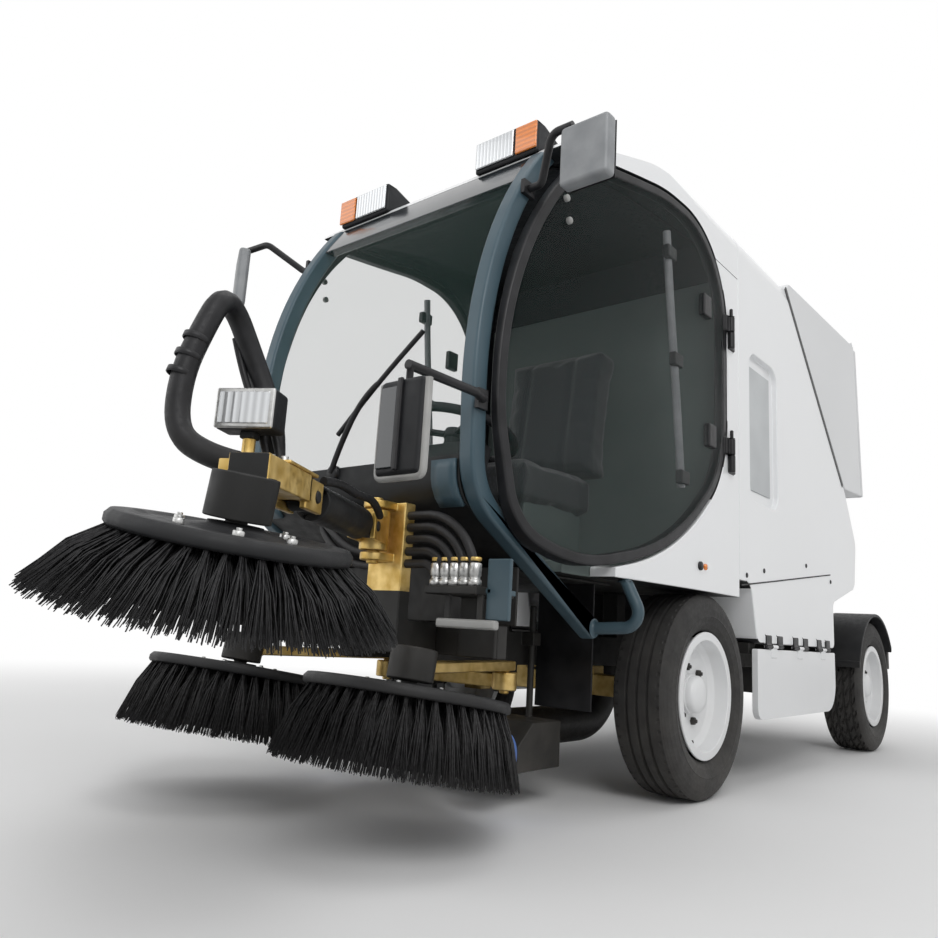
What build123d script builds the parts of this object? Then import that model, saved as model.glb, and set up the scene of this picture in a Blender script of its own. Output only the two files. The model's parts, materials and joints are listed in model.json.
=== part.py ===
from build123d import *
import math
import os

# Compact street sweeper in millimetres: +X forward, +Y left, +Z up.
# Sizes are measured from the front axle on the ground. The saved pieces are shifted
# along X so that the origin is at the centre of the bottom of the whole machine.

# Clearances
RUN = 0.05          # shaft in a bore
SEAT = 0.3          # curved faces that sit together
GAP = 5.0           # between moving pieces
SEAM = 8.0          # round the doors

# Half width of the body, which the wheels, cab, hopper and bumper follow
CAB_HALF = 580.0

# Wheels and axles
TYRE_R = 317.0
TYRE_W = 185.0
TREAD_W = 150.0
WHEELBASE = 2050.0
WHEEL_Y = CAB_HALF - 98.0
RIM_R = 197.0
RIM_W = 164.0
BARREL_R = 178.0
RIM_WALL = 8.0
HUB_R = 62.0
HUB_OUT = 34.0
SPINDLE_R = 22.0
KINGPIN_Y = WHEEL_Y - 127.0
KINGPIN_R = 14.0
BOSS_R = 30.0
BOSS_HALF = 44.0
AXLE_HALF = 35.0

# Chassis
RAIL_Y = 140.0
RAIL_W = 60.0
RAIL_H = 100.0
RAIL_Z = 380.0
RAIL_FRONT = 900.0
BEAM_X = 40.0
BEAM_HALF = CAB_HALF - 140.0
BEAM_Z0 = 410.0
BEAM_H = 80.0
OUTRIGGER_H = 40.0
BUMPER_X = WHEELBASE + 365.0
BUMPER_T = 40.0
BUMPER_HALF = CAB_HALF - 20.0
BUMPER_Z0 = 400.0
BUMPER_H = 160.0
HITCH_SPACING_Y = 140.0
HITCH_SPACING_Z = 90.0
HITCH_HOLE_R = 9.0
REAR_LAMP_T = 15.0
GUARD_REAR = 300.0

# Cab shell
CAB_WALL = 35.0
GLASS_T = 12.0
CAB_REAR = -235.0
CAB_FRONT_HALF = CAB_HALF - 106.0
CAB_BOTTOM = 640.0
FLOOR_TOP = 675.0
FLOOR_HALF = CAB_HALF - 120.0
FLOOR_FRONT = 700.0
FLOOR_NOSE = 790.0
SCREEN_BOTTOM = 895.0
SCREEN_TOP = 1700.0
ROOF_BOTTOM = 1815.0
ROOF_LIP = 1830.0
ROOF_LIP_X = 845.0
ROOF_TOP = 2030.0
SHOULDER_R = 110.0
SHOULDER_OUT = 1.0
SCREEN_R = 1190.0
SEAT_Z = 890.0
TRIM_TOP = 2200.0       # above and ahead of everything, for cuts
TRIM_FRONT = 1300.0

# Front pillars, which run on as the step frame
PILLAR_Y = CAB_FRONT_HALF - 52.0
PILLAR_W = 48.0
PILLAR_T = 52.0
STEP_X = 485.0
STEP_Z = 490.0
STEP_OUT = CAB_HALF + 20.0
STEP_R = 17.0

# Roof lamps and mirrors
LAMP_Y0 = 188.0
LAMP_SPLIT = 340.0
LAMP_Y1 = 418.0
LAMP_H = 104.0
MIRROR_X = 975.0
MIRROR_Y = CAB_HALF + 20.0
MIRROR_Z = 1575.0
MIRROR_W = 140.0
MIRROR_H = 165.0
MIRROR_T = 45.0
FAR_MIRROR_X = 1020.0
FAR_MIRROR_Z = 1525.0
FAR_MIRROR_W = 150.0
FAR_MIRROR_H = 210.0
FAR_MIRROR_T = 40.0
FAR_MIRROR_TURN = 30.0
LOW_MIRROR_X = 1350.0
MIRROR_ARM_R = 11.0
ARM_FOOT_X = 922.0
ARM_FOOT_Z = 1655.0

# Doors
DOOR_FRAME_W = 30.0
DOOR_REAR = -125.0
HINGE_OUT = 12.0
HINGE_R = 12.0
HINGE_PIN_R = 6.0
HINGE_HALF = 30.0

# Engine housing
BODY_FRONT = -240.0
BODY_WALL = 35.0
BODY_BOTTOM = 490.0
DECK_HALF = 400.0
RECESS_DEPTH = 22.0
SLOT_HALF = 90.0
SKIRT_T = 22.0
SKIRT_Z0 = 225.0
SKIRT_TOP = 470.0
SKIRT_FRONT = -400.0
SKIRT_REAR = -1335.0
SKIRT_HINGE_R = 7.0

# Hopper
HOPPER_HALF = CAB_HALF - 10.0
HOPPER_WALL = 25.0
TIP_X = -1850.0
TIP_Z = 1010.0
TIP_PIN_R = 20.0
UPRIGHT_Y1 = WHEEL_Y - TYRE_W / 2 - 19.5
UPRIGHT_Y0 = UPRIGHT_Y1 - 60.0
LUG_T = 25.0
TAIL_T = 35.0
TAIL_HINGE_R = 14.0
GATE_DROP = 14.0
HOOD_R = 175.0
HOOD_REACH = 2360.0
HOOD_HALF = 400.0

# Tipping cylinder
RAM_BASE_X = -1350.0
RAM_BASE_Z = 590.0
RAM_EYE_X = -1240.0
RAM_EYE_Z = 1545.0
RAM_R = 40.0
RAM_ROD_R = 25.0
RAM_TUBE = 700.0

# Side brushes and their arms
LIFT_X = 500.0
LIFT_Z = 340.0
LIFT_PIN_R = 15.0
ARM_X = 630.0
ARM_Y = 235.0
ARM_PIN_R = 14.0
ARM_W = 60.0
ARM_T = 26.0
ARM_Z = 370.0
BRUSH_X = 1150.0
BRUSH_Y = 330.0
BRUSH_Z = 155.0
BRUSH_TILT = 8.5
BRUSH_TIP_R = 290.0
BRUSH_TOP_R = 235.0
BRUSH_H = 160.0
PLATE_T = 25.0
MOTOR_R = 55.0
MOTOR_H = 75.0
MOTOR_FOOT = 10.0
MOTOR_SHAFT_R = 18.0

# Boom and front brush
BOOM_X = 1130.0
BOOM_Y = 183.0
BOOM_Z = 705.0
BOOM_R = 38.0
BOOM_LIFT = 85.0
BOOM_LEVEL = 495.0
COLUMN_X = 1050.0
COLUMN_T = 38.0
COLUMN_HALF = 60.0
BOOM_PIN_R = 12.0
FRONT_BRUSH_X = 1764.0
FRONT_BRUSH_Y = 504.0
FRONT_BRUSH_Z = 480.0
FRONT_BRUSH_TILT = 10.5
FRONT_TIP_R = 300.0
FRONT_TOP_R = 190.0
FRONT_BRUSH_H = 110.0
HOSE_R = 11.0
SLEEVE_R = 22.0
HOSE_FRONT_U = 655.0
HOSE_REAR_U = 510.0
HOSE_V = -55.0
LAMP_U = 570.0
LAMP_V = -82.0
LAMP_W = 105.0
BRACKET_Z = 575.0
BRACKET_T = 20.0
BRACKET_Y0 = 325.0
BRACKET_Y1 = 485.0

# Suction nozzle
NOZZLE_REAR = 430.0
NOZZLE_FRONT = 640.0
NOZZLE_HALF = 300.0
NOZZLE_Z0 = 100.0
NOZZLE_H = 130.0
NOZZLE_WALL = 12.0
NOZZLE_TRAVEL = 75.0
GUIDE_X = 446.0
GUIDE_Y = 195.0
GUIDE_R = 10.0
GUIDE_H = 40.0
DUCT_R = 65.0
DUCT_X = -330.0
CLAMP_HALF = 100.0
CLAMP_T = 20.0
ROLLER_R = 70.0
ROLLER_W = 40.0
ROLLER_X = 720.0
ROLLER_Y = 288.0
ROLLER_Z = 150.0
ROLLER_PIN_R = 10.0

# Reach of the whole machine, which sets the origin
FRONT_REACH = FRONT_BRUSH_X + FRONT_TIP_R
REAR_REACH = BUMPER_X + REAR_LAMP_T
SHIFT_X = (REAR_REACH - FRONT_REACH) / 2
HALF_REACH = FRONT_BRUSH_Y + FRONT_TIP_R * math.cos(math.radians(FRONT_BRUSH_TILT))


def block(x0, x1, y0, y1, z0, z1):
    """Box between two corners."""
    centre = Pos((x0 + x1) / 2, (y0 + y1) / 2, (z0 + z1) / 2)
    return centre * Box(x1 - x0, y1 - y0, z1 - z0)


def rod(start, end, radius):
    """Round bar from one point to another."""
    axis = Vector(end) - Vector(start)
    bottom = (Align.CENTER, Align.CENTER, Align.MIN)
    return Plane(origin=start, z_dir=axis) * Cylinder(radius, axis.length, align=bottom)


def outline(points, radii, inset=0.0):
    """Flat closed outline with one corner radius per point, drawn in by the inset."""
    corners = [Vector(*point) for point in points]
    count = len(corners)
    area = sum(corners[i - 1].X * corners[i].Y - corners[i].X * corners[i - 1].Y for i in range(count))
    turn = math.copysign(1.0, area)
    moved = []
    rounds = []
    for i in range(count):
        before = (corners[i] - corners[i - 1]).normalized()
        after = (corners[(i + 1) % count] - corners[i]).normalized()
        normal_before = Vector(-before.Y, before.X) * turn
        normal_after = Vector(-after.Y, after.X) * turn
        share = inset / (1.0 + normal_before.dot(normal_after))
        moved.append(corners[i] + (normal_before + normal_after) * share)
        bulges = before.cross(after).Z * turn > 0
        rounds.append(max(radii[i] - inset if bulges else radii[i] + inset, 0.0) if radii[i] else 0.0)
    return Face(FilletPolyline(*moved, radius=rounds, close=True))


def along_y(face, y0, y1):
    """Outline in X and Z, drawn out along Y."""
    return Pos(0, y0, 0) * extrude(Plane.XZ * face, amount=y1 - y0, dir=(0, 1, 0))


def along_x(face, x0, x1):
    """Outline in Y and Z, drawn out along X."""
    return Pos(x0, 0, 0) * extrude(Plane.YZ * face, amount=x1 - x0, dir=(1, 0, 0))


def along_z(face, z0, z1):
    """Outline in X and Y, drawn out along Z."""
    return Pos(0, 0, z0) * extrude(face, amount=z1 - z0, dir=(0, 0, 1))


def tube(points, radii, radius):
    """Round bar or hose along straight runs with rounded corners."""
    path = FilletPolyline(*points, radius=radii)
    return sweep(Plane(origin=path @ 0, z_dir=path % 0) * Circle(radius), path=path)


def right(shape):
    """The same piece on the right-hand side."""
    return mirror(shape, about=Plane.XZ)


def both(shape):
    """A piece and its mirror image in one node."""
    return shape + right(shape)


def save(name, shape):
    """Writes one node, with the origin moved to the machine's centre."""
    export_step(Pos(SHIFT_X, 0, 0) * shape, os.path.join("parts", name + ".step"))


# Wheels

def tyre():
    """Tyre about Y at its own centre: bead, side wall, shoulder, tread."""
    half = [
        (BARREL_R + SEAT, RIM_W / 2 - 12),
        (RIM_R + 2, RIM_W / 2 - 10),
        (RIM_R + 42, TYRE_W / 2),
        (TYRE_R - 30, TYRE_W / 2),
        (TYRE_R, TREAD_W / 2),
    ]
    points = half + [(r, -y) for r, y in reversed(half)]
    return revolve(Plane.XY * Face(Polyline(*points, close=True)), Axis.Y)


def rim():
    """Steel rim about Y: barrel with two flanges, dished disc and hub."""
    flange = RIM_W / 2
    inner = BARREL_R - RIM_WALL
    points = [
        (BARREL_R, -flange + RIM_WALL),
        (RIM_R, -flange + RIM_WALL),
        (RIM_R, -flange),
        (inner, -flange),
        (inner, RIM_WALL),
        (HUB_R + 8, RIM_WALL),
        (HUB_R + 8, -12),
        (SPINDLE_R + RUN, -12),
        (SPINDLE_R + RUN, HUB_OUT),
        (HUB_R, HUB_OUT),
        (HUB_R, 20),
        (inner - 22, 20),
        (inner, 34),
        (inner, flange),
        (RIM_R, flange),
        (RIM_R, flange - RIM_WALL),
        (BARREL_R, flange - RIM_WALL),
    ]
    return revolve(Plane.XY * Face(Polyline(*points, close=True)), Axis.Y)


def save_wheels():
    """Four wheels: name, axle position along X, side."""
    corners = [
        ("front_left", 0.0, 1),
        ("front_right", 0.0, -1),
        ("rear_left", -WHEELBASE, 1),
        ("rear_right", -WHEELBASE, -1),
    ]
    for name, axle_x, side in corners:
        place = Pos(axle_x, WHEEL_Y, TYRE_R)
        for piece, shape in (("tyre", place * tyre()), ("rim", place * rim())):
            save(piece + "_" + name, shape if side > 0 else right(shape))


# Axles and steering

def front_axle():
    """Beam with a boss for each kingpin and pads up to the rails."""
    reach = KINGPIN_Y - 15
    beam = block(-AXLE_HALF, AXLE_HALF, -reach, reach, TYRE_R - AXLE_HALF, TYRE_R + AXLE_HALF)
    for side in (-1, 1):
        boss = Pos(0, side * KINGPIN_Y, TYRE_R) * Cylinder(BOSS_R, 2 * BOSS_HALF)
        y = side * RAIL_Y
        beam += boss + block(-AXLE_HALF, AXLE_HALF, y - RAIL_W / 2, y + RAIL_W / 2, TYRE_R, RAIL_Z)
    for side in (-1, 1):
        beam -= Pos(0, side * KINGPIN_Y, TYRE_R) * Cylinder(KINGPIN_R + RUN, 4 * BOSS_HALF)
    return beam


def knuckle():
    """Left knuckle: two plates, kingpin, web and wheel spindle."""
    plate_z = BOSS_HALF + 1
    plate_t = 16.0
    web_y = KINGPIN_Y + BOSS_R + 4
    web_t = 18.0
    piece = Pos(0, KINGPIN_Y, TYRE_R) * Cylinder(KINGPIN_R, 2 * plate_z + plate_t)
    for low in (-plate_z - plate_t, plate_z):
        z = TYRE_R + low
        piece += block(-BOSS_R, BOSS_R, KINGPIN_Y - BOSS_R, web_y + web_t, z, z + plate_t)
    tall = plate_z + plate_t
    piece += block(-BOSS_R, BOSS_R, web_y, web_y + web_t, TYRE_R - tall, TYRE_R + tall)
    return piece + rod((0, web_y, TYRE_R), (0, WHEEL_Y + HUB_OUT, TYRE_R), SPINDLE_R)


def rear_axle():
    """Driven axle: tube, drive housing, wheel spindles and pads to the rails."""
    centre = Pos(-WHEELBASE, 0, TYRE_R)
    tube_half = WHEEL_Y - RIM_W / 2
    axle = centre * Rot(90, 0, 0) * Cylinder(45, 2 * tube_half)
    axle += centre * Rot(90, 0, 0) * Cylinder(SPINDLE_R, 2 * (WHEEL_Y + HUB_OUT))
    axle += centre * Box(230, 190, 170)
    for side in (-1, 1):
        y = side * RAIL_Y
        axle += block(-WHEELBASE - 40, -WHEELBASE + 40, y - RAIL_W / 2, y + RAIL_W / 2, TYRE_R, RAIL_Z)
    return axle


# Chassis

def ram_direction():
    """Unit vector along the tipping cylinder at rest."""
    return (Vector(RAM_EYE_X, 0, RAM_EYE_Z) - Vector(RAM_BASE_X, 0, RAM_BASE_Z)).normalized()


def chassis_frame():
    """Two rails with cross members, cab posts, outriggers and tipping uprights."""
    rail_top = RAIL_Z + RAIL_H
    inner = RAIL_Y - RAIL_W / 2
    outer = RAIL_Y + RAIL_W / 2
    rail_rear = -BUMPER_X + BUMPER_T
    # The front beam is bolted against the ends of the rails
    beam = block(RAIL_FRONT, RAIL_FRONT + BEAM_X, -BEAM_HALF, BEAM_HALF, BEAM_Z0, BEAM_Z0 + BEAM_H)
    frame = Part()
    # Cross members between the rails: position along X
    for x in (250.0, RAM_BASE_X, -1600.0, rail_rear + 75):
        frame += block(x - 40, x + 40, -RAIL_Y, RAIL_Y, RAIL_Z + 10, rail_top - 10)
    for side in (-1, 1):
        low, high = sorted((side * inner, side * outer))
        frame += block(rail_rear, RAIL_FRONT - SEAT, low, high, RAIL_Z, rail_top)
        for x in (-150.0, 560.0):
            frame += block(x - 30, x + 30, low, high, rail_top, CAB_BOTTOM)
        reach = sorted((side * inner, side * (CAB_HALF - BODY_WALL)))
        for x in (-440.0, -1250.0):
            frame += block(x - 30, x + 30, *reach, BODY_BOTTOM - OUTRIGGER_H, BODY_BOTTOM)
        # Upright with the tipping pin
        span = sorted((side * UPRIGHT_Y0, side * UPRIGHT_Y1))
        frame += block(TIP_X - 45, TIP_X + 45, *span, RAIL_Z, TIP_Z)
        frame += block(TIP_X - 45, TIP_X + 45, *sorted((side * inner, side * UPRIGHT_Y1)), RAIL_Z, rail_top)
        frame += rod((TIP_X, span[0], TIP_Z), (TIP_X, span[1], TIP_Z), 45)
        pin_end = side * (UPRIGHT_Y1 + GAP + LUG_T + 4)
        frame += rod((TIP_X, side * UPRIGHT_Y0, TIP_Z), (TIP_X, pin_end, TIP_Z), TIP_PIN_R)
        # Lug that carries the brush beam's pin
        y = side * RAIL_Y
        frame += block(LIFT_X - 40, LIFT_X + 40, y - 15, y + 15, LIFT_Z - 40, RAIL_Z)
        # Ear for the foot of the tipping cylinder
        ear = sorted((side * 46, side * 60))
        frame += block(RAM_BASE_X - 40, RAM_BASE_X + 40, *ear, RAIL_Z + 10, RAM_BASE_Z + 35)
        # Bush for the nozzle's guide post
        bush = sorted((side * RAIL_Y, side * (GUIDE_Y + 2 * GUIDE_R)))
        guide = block(GUIDE_X - 2 * GUIDE_R, GUIDE_X + 2 * GUIDE_R, *bush, rail_top - GUIDE_H, rail_top)
        frame += guide - Pos(GUIDE_X, side * GUIDE_Y, rail_top) * Cylinder(GUIDE_R + RUN, 4 * GUIDE_H)
    # Clamp plate round the suction duct
    clamp_z = rail_top - GUIDE_H
    clamp = block(DUCT_X - CLAMP_HALF, DUCT_X + CLAMP_HALF, -RAIL_Y, RAIL_Y, clamp_z, clamp_z + CLAMP_T)
    frame += clamp - Pos(DUCT_X, 0, clamp_z) * Cylinder(DUCT_R + SEAT, 4 * CLAMP_T)
    frame -= rod((LIFT_X, -2 * RAIL_Y, LIFT_Z), (LIFT_X, 2 * RAIL_Y, LIFT_Z), LIFT_PIN_R + RUN)
    frame -= rod((RAM_BASE_X, -80, RAM_BASE_Z), (RAM_BASE_X, 80, RAM_BASE_Z), ARM_PIN_R + RUN)
    return frame + beam


def rear_bumper():
    """Plate across the rear with a bolt pattern for a tow hitch."""
    x0 = -BUMPER_X
    plate = block(x0, x0 + BUMPER_T, -BUMPER_HALF, BUMPER_HALF, BUMPER_Z0, BUMPER_Z0 + BUMPER_H)
    middle = BUMPER_Z0 + BUMPER_H / 2
    for y in (-HITCH_SPACING_Y / 2, HITCH_SPACING_Y / 2):
        for z in (middle - HITCH_SPACING_Z / 2, middle + HITCH_SPACING_Z / 2):
            plate -= rod((x0 - 1, y, z), (x0 + BUMPER_T + 1, y, z), HITCH_HOLE_R)
    return plate


def rear_lamps():
    """Lamp cluster at each end of the bumper."""
    span = (BUMPER_HALF - 180, BUMPER_HALF - 20)
    return both(block(-REAR_REACH, -BUMPER_X, *span, BUMPER_Z0 + 45, BUMPER_Z0 + 120))


def engine_block():
    """Engine and pump as one plain mass on the rails."""
    return block(-1150, -480, -300, 300, RAIL_Z + RAIL_H, 1000)


# Cab

def screen_profile(out):
    """Corner points of the windscreen line, moved out from the pillars' centre line."""
    top = (786.0 + 0.768 * out, 1852.0 + 0.640 * out)
    bend = (1086.0 + 1.02 * out, 1492.0 + 0.355 * out)
    foot = (1050.0 + 0.9 * out, 800.0 - 0.4 * out)
    return top, bend, foot


def cab_volume(inset):
    """Closed volume of the cab, drawn in by the inset on every side."""
    top, bend, foot = screen_profile(20.0)
    side_points = [
        (CAB_REAR, CAB_BOTTOM),
        (FLOOR_NOSE, CAB_BOTTOM),
        foot,
        bend,
        top,
        (top[0], TRIM_TOP),
        (CAB_REAR, TRIM_TOP),
    ]
    side = outline(side_points, [0, 0, 100, SCREEN_R, 0, 0, 0], inset)
    roof_points = [
        (CAB_REAR, 0.0),
        (TRIM_FRONT, 0.0),
        (TRIM_FRONT, ROOF_LIP),
        (ROOF_LIP_X, ROOF_LIP),
        (400.0, 1965.0),
        (CAB_REAR, ROOF_TOP),
    ]
    roof = outline(roof_points, [0, 0, 0, 10, 500, 0], inset)
    half = CAB_HALF - inset
    front_half = CAB_FRONT_HALF - inset
    rear = CAB_REAR + inset
    straight = -100.0
    bend_x = 1040.0
    nose_x = 1200.0
    edges = [
        Polyline((straight, -half), (rear, -half), (rear, half), (straight, half)),
        TangentArc((straight, half), (bend_x, front_half), tangent=(1, 0)),
        Polyline((bend_x, front_half), (nose_x, front_half), (nose_x, -front_half), (bend_x, -front_half)),
        TangentArc((straight, -half), (bend_x, -front_half), tangent=(1, 0)),
    ]
    plan = make_face(Curve() + edges)
    wide = CAB_HALF + SHOULDER_OUT
    across = outline(
        [(-wide, 500), (wide, 500), (wide, ROOF_TOP), (-wide, ROOF_TOP)],
        [0, 0, SHOULDER_R, SHOULDER_R],
        inset,
    )
    solid = along_y(side, -CAB_HALF, CAB_HALF) & along_y(roof, -CAB_HALF, CAB_HALF)
    solid = solid & along_z(plan, 400, TRIM_TOP)
    return solid & along_x(across, -600, 1400)


def door_outline(inset=0.0):
    """Outline of the left door in X and Z, drawn in by the inset."""
    top, bend, _ = screen_profile(-45.0)
    # Each corner with its radius, from the rear top downwards and round
    corners = [
        ((DOOR_REAR, 1905.0), 330),
        ((DOOR_REAR, 1055.0), 400),
        ((262.0, 738.0), 1000),
        ((720.0, 644.0), 540),
        ((965.0, 719.0), 185),
        ((1034.0, 1000.0), 540),
        (bend, 1050),
        (top, 60),
        ((330.0, 1905.0), 700),
    ]
    points = [point for point, _ in corners]
    return outline(points, [radius for _, radius in corners], inset)


def pillar_path():
    """Centre line of a front pillar, down to the step below the door."""
    top, bend, foot = screen_profile(0.0)
    points = [(top[0] - 32, top[1] + 38.4), bend, foot, (STEP_X, STEP_Z)]
    return points, [SCREEN_R - 20, 160]


def cab_frame():
    """Front pillars that bend back under the door, each with the loop of its step."""
    points, radii = pillar_path()
    path = Plane.XZ * FilletPolyline(*points, radius=radii)
    start = Plane(origin=path @ 0, x_dir=(0, 1, 0), z_dir=path % 0)
    left = Pos(0, PILLAR_Y, 0) * sweep(start * Rectangle(PILLAR_W, PILLAR_T), path=path)
    left -= block(600, 1000, 0, CAB_HALF, ROOF_BOTTOM, TRIM_TOP)
    inner_y = PILLAR_Y + PILLAR_W / 2 - STEP_R
    loop = [
        (STEP_X + STEP_R, inner_y, STEP_Z + 10),
        (STEP_X, STEP_OUT, STEP_Z + 20),
        (STEP_X + 20, STEP_OUT - 75, CAB_BOTTOM + 2 * STEP_R),
    ]
    left += tube(loop, [45], STEP_R) - block(0, TRIM_FRONT, 0, TRIM_FRONT, CAB_BOTTOM, TRIM_TOP)
    return both(left)


def hinge_axis():
    """Position of the left door's hinge line in X and Y."""
    return DOOR_REAR - 15.0, CAB_HALF + HINGE_OUT


def save_cab():
    """Shell of the cab, split where the panels meet."""
    outer = cab_volume(0)
    shell = outer - cab_volume(CAB_WALL)
    glass_shell = outer - cab_volume(GLASS_T)
    screen_half = PILLAR_Y - PILLAR_W / 2 - SEAT
    wall_y = CAB_HALF - CAB_WALL
    far = TRIM_FRONT
    door_hole = along_y(door_outline(-SEAM), 300, 700)

    front = block(FLOOR_FRONT, far, -screen_half, screen_half, 0, SCREEN_BOTTOM)
    screen = block(FLOOR_FRONT, far, -screen_half, screen_half, SCREEN_BOTTOM, SCREEN_TOP)
    header = block(FLOOR_FRONT - 200, far, -screen_half, screen_half, SCREEN_TOP, ROOF_BOTTOM)
    upper = block(CAB_REAR, far, -CAB_HALF, CAB_HALF, ROOF_BOTTOM, TRIM_TOP)
    floor = block(CAB_REAR, FLOOR_FRONT, -FLOOR_HALF, FLOOR_HALF, CAB_BOTTOM, FLOOR_TOP)
    rear = block(CAB_REAR, CAB_REAR + CAB_WALL, -wall_y, wall_y, FLOOR_TOP, ROOF_BOTTOM)

    save("cab_roof", (shell & upper) - door_hole - right(door_hole))
    save("front_panel", (shell & front) + hose_bracket())
    save("windshield", glass_shell & screen)
    save("header_panel", shell & header)
    pedestal = block(170, 500, -180, 180, FLOOR_TOP, SEAT_Z)
    save("cab_tub", (shell & floor) + (shell & rear) + pedestal)

    side = shell & block(CAB_REAR, 560, 300, CAB_HALF, CAB_BOTTOM, ROOF_BOTTOM)
    side = side - floor - rear - door_hole
    hinge_x, hinge_y = hinge_axis()
    # Hinge heights on the door's rear edge
    for z in (1150.0, 1600.0):
        low = z - HINGE_HALF
        knuckle_low = Pos(hinge_x, hinge_y, low - HINGE_HALF) * Cylinder(HINGE_R, 2 * HINGE_HALF - 2 * SEAT)
        pin = Pos(hinge_x, hinge_y, z) * Cylinder(HINGE_PIN_R, 4 * HINGE_HALF)
        leaf = block(hinge_x - 45, hinge_x, CAB_HALF, CAB_HALF + 8, low - 2 * HINGE_HALF + SEAT, low - SEAT)
        side += knuckle_low + pin + leaf
    save("cab_sides", both(side))

    door_y = PILLAR_Y + PILLAR_W / 2 + GAP
    frame = (shell & along_y(door_outline(), door_y, far)) - along_y(door_outline(DOOR_FRAME_W), 0, far)
    frame -= block(CAB_REAR, far, 0, FLOOR_HALF + GAP, 0, FLOOR_TOP + GAP)
    for z in (1150.0, 1600.0):
        barrel = Pos(hinge_x, hinge_y, z) * Cylinder(HINGE_R, 2 * HINGE_HALF)
        barrel += block(hinge_x, DOOR_REAR + 25, CAB_HALF, CAB_HALF + 8, z - HINGE_HALF, z + HINGE_HALF)
        frame += barrel - Pos(hinge_x, hinge_y, z) * Cylinder(HINGE_PIN_R + RUN, 3 * HINGE_HALF)
    pane = glass_shell & along_y(door_outline(DOOR_FRAME_W + SEAT), 300, 700)
    for name, flip in (("left", False), ("right", True)):
        save("door_frame_" + name, right(frame) if flip else frame)
        save("door_glass_" + name, right(pane) if flip else pane)
    return outer


def seat_pieces():
    """Driver's seat on its pedestal: name and solid."""
    cushion = block(120, 570, -235, 235, SEAT_Z, 1000)
    lean = Rot(0, -8, 0)
    back = Pos(110, 0, 989) * lean * Pos(0, 0, 280) * Box(110, 450, 540)
    return (("seat_cushion", cushion), ("seat_back", back))


def dashboard():
    """Console pod, steering column and wheel on the floor."""
    foot = block(700, 750, -150, 150, FLOOR_TOP, 760)
    column = rod((725, 0, 740), (640, 0, 1080), 32)
    pod = Pos(690, 0, 960) * Rot(0, -14, 0) * Box(70, 300, 150)
    return foot + column + pod + steering_wheel()


def steering_wheel():
    """Rim, hub and three spokes in the plane across the column."""
    column = Vector(640 - 725, 0, 1080 - 740).normalized()
    hub = Vector(640, 0, 1080)
    wheel = Torus(190, 15) + Cylinder(36, 30)
    for angle in (90, 210, 330):
        wheel += Rot(0, 0, angle) * Pos(95, 0, 0) * Box(190, 28, 14)
    return Plane(origin=hub, x_dir=(0, 1, 0), z_dir=column) * wheel


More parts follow.
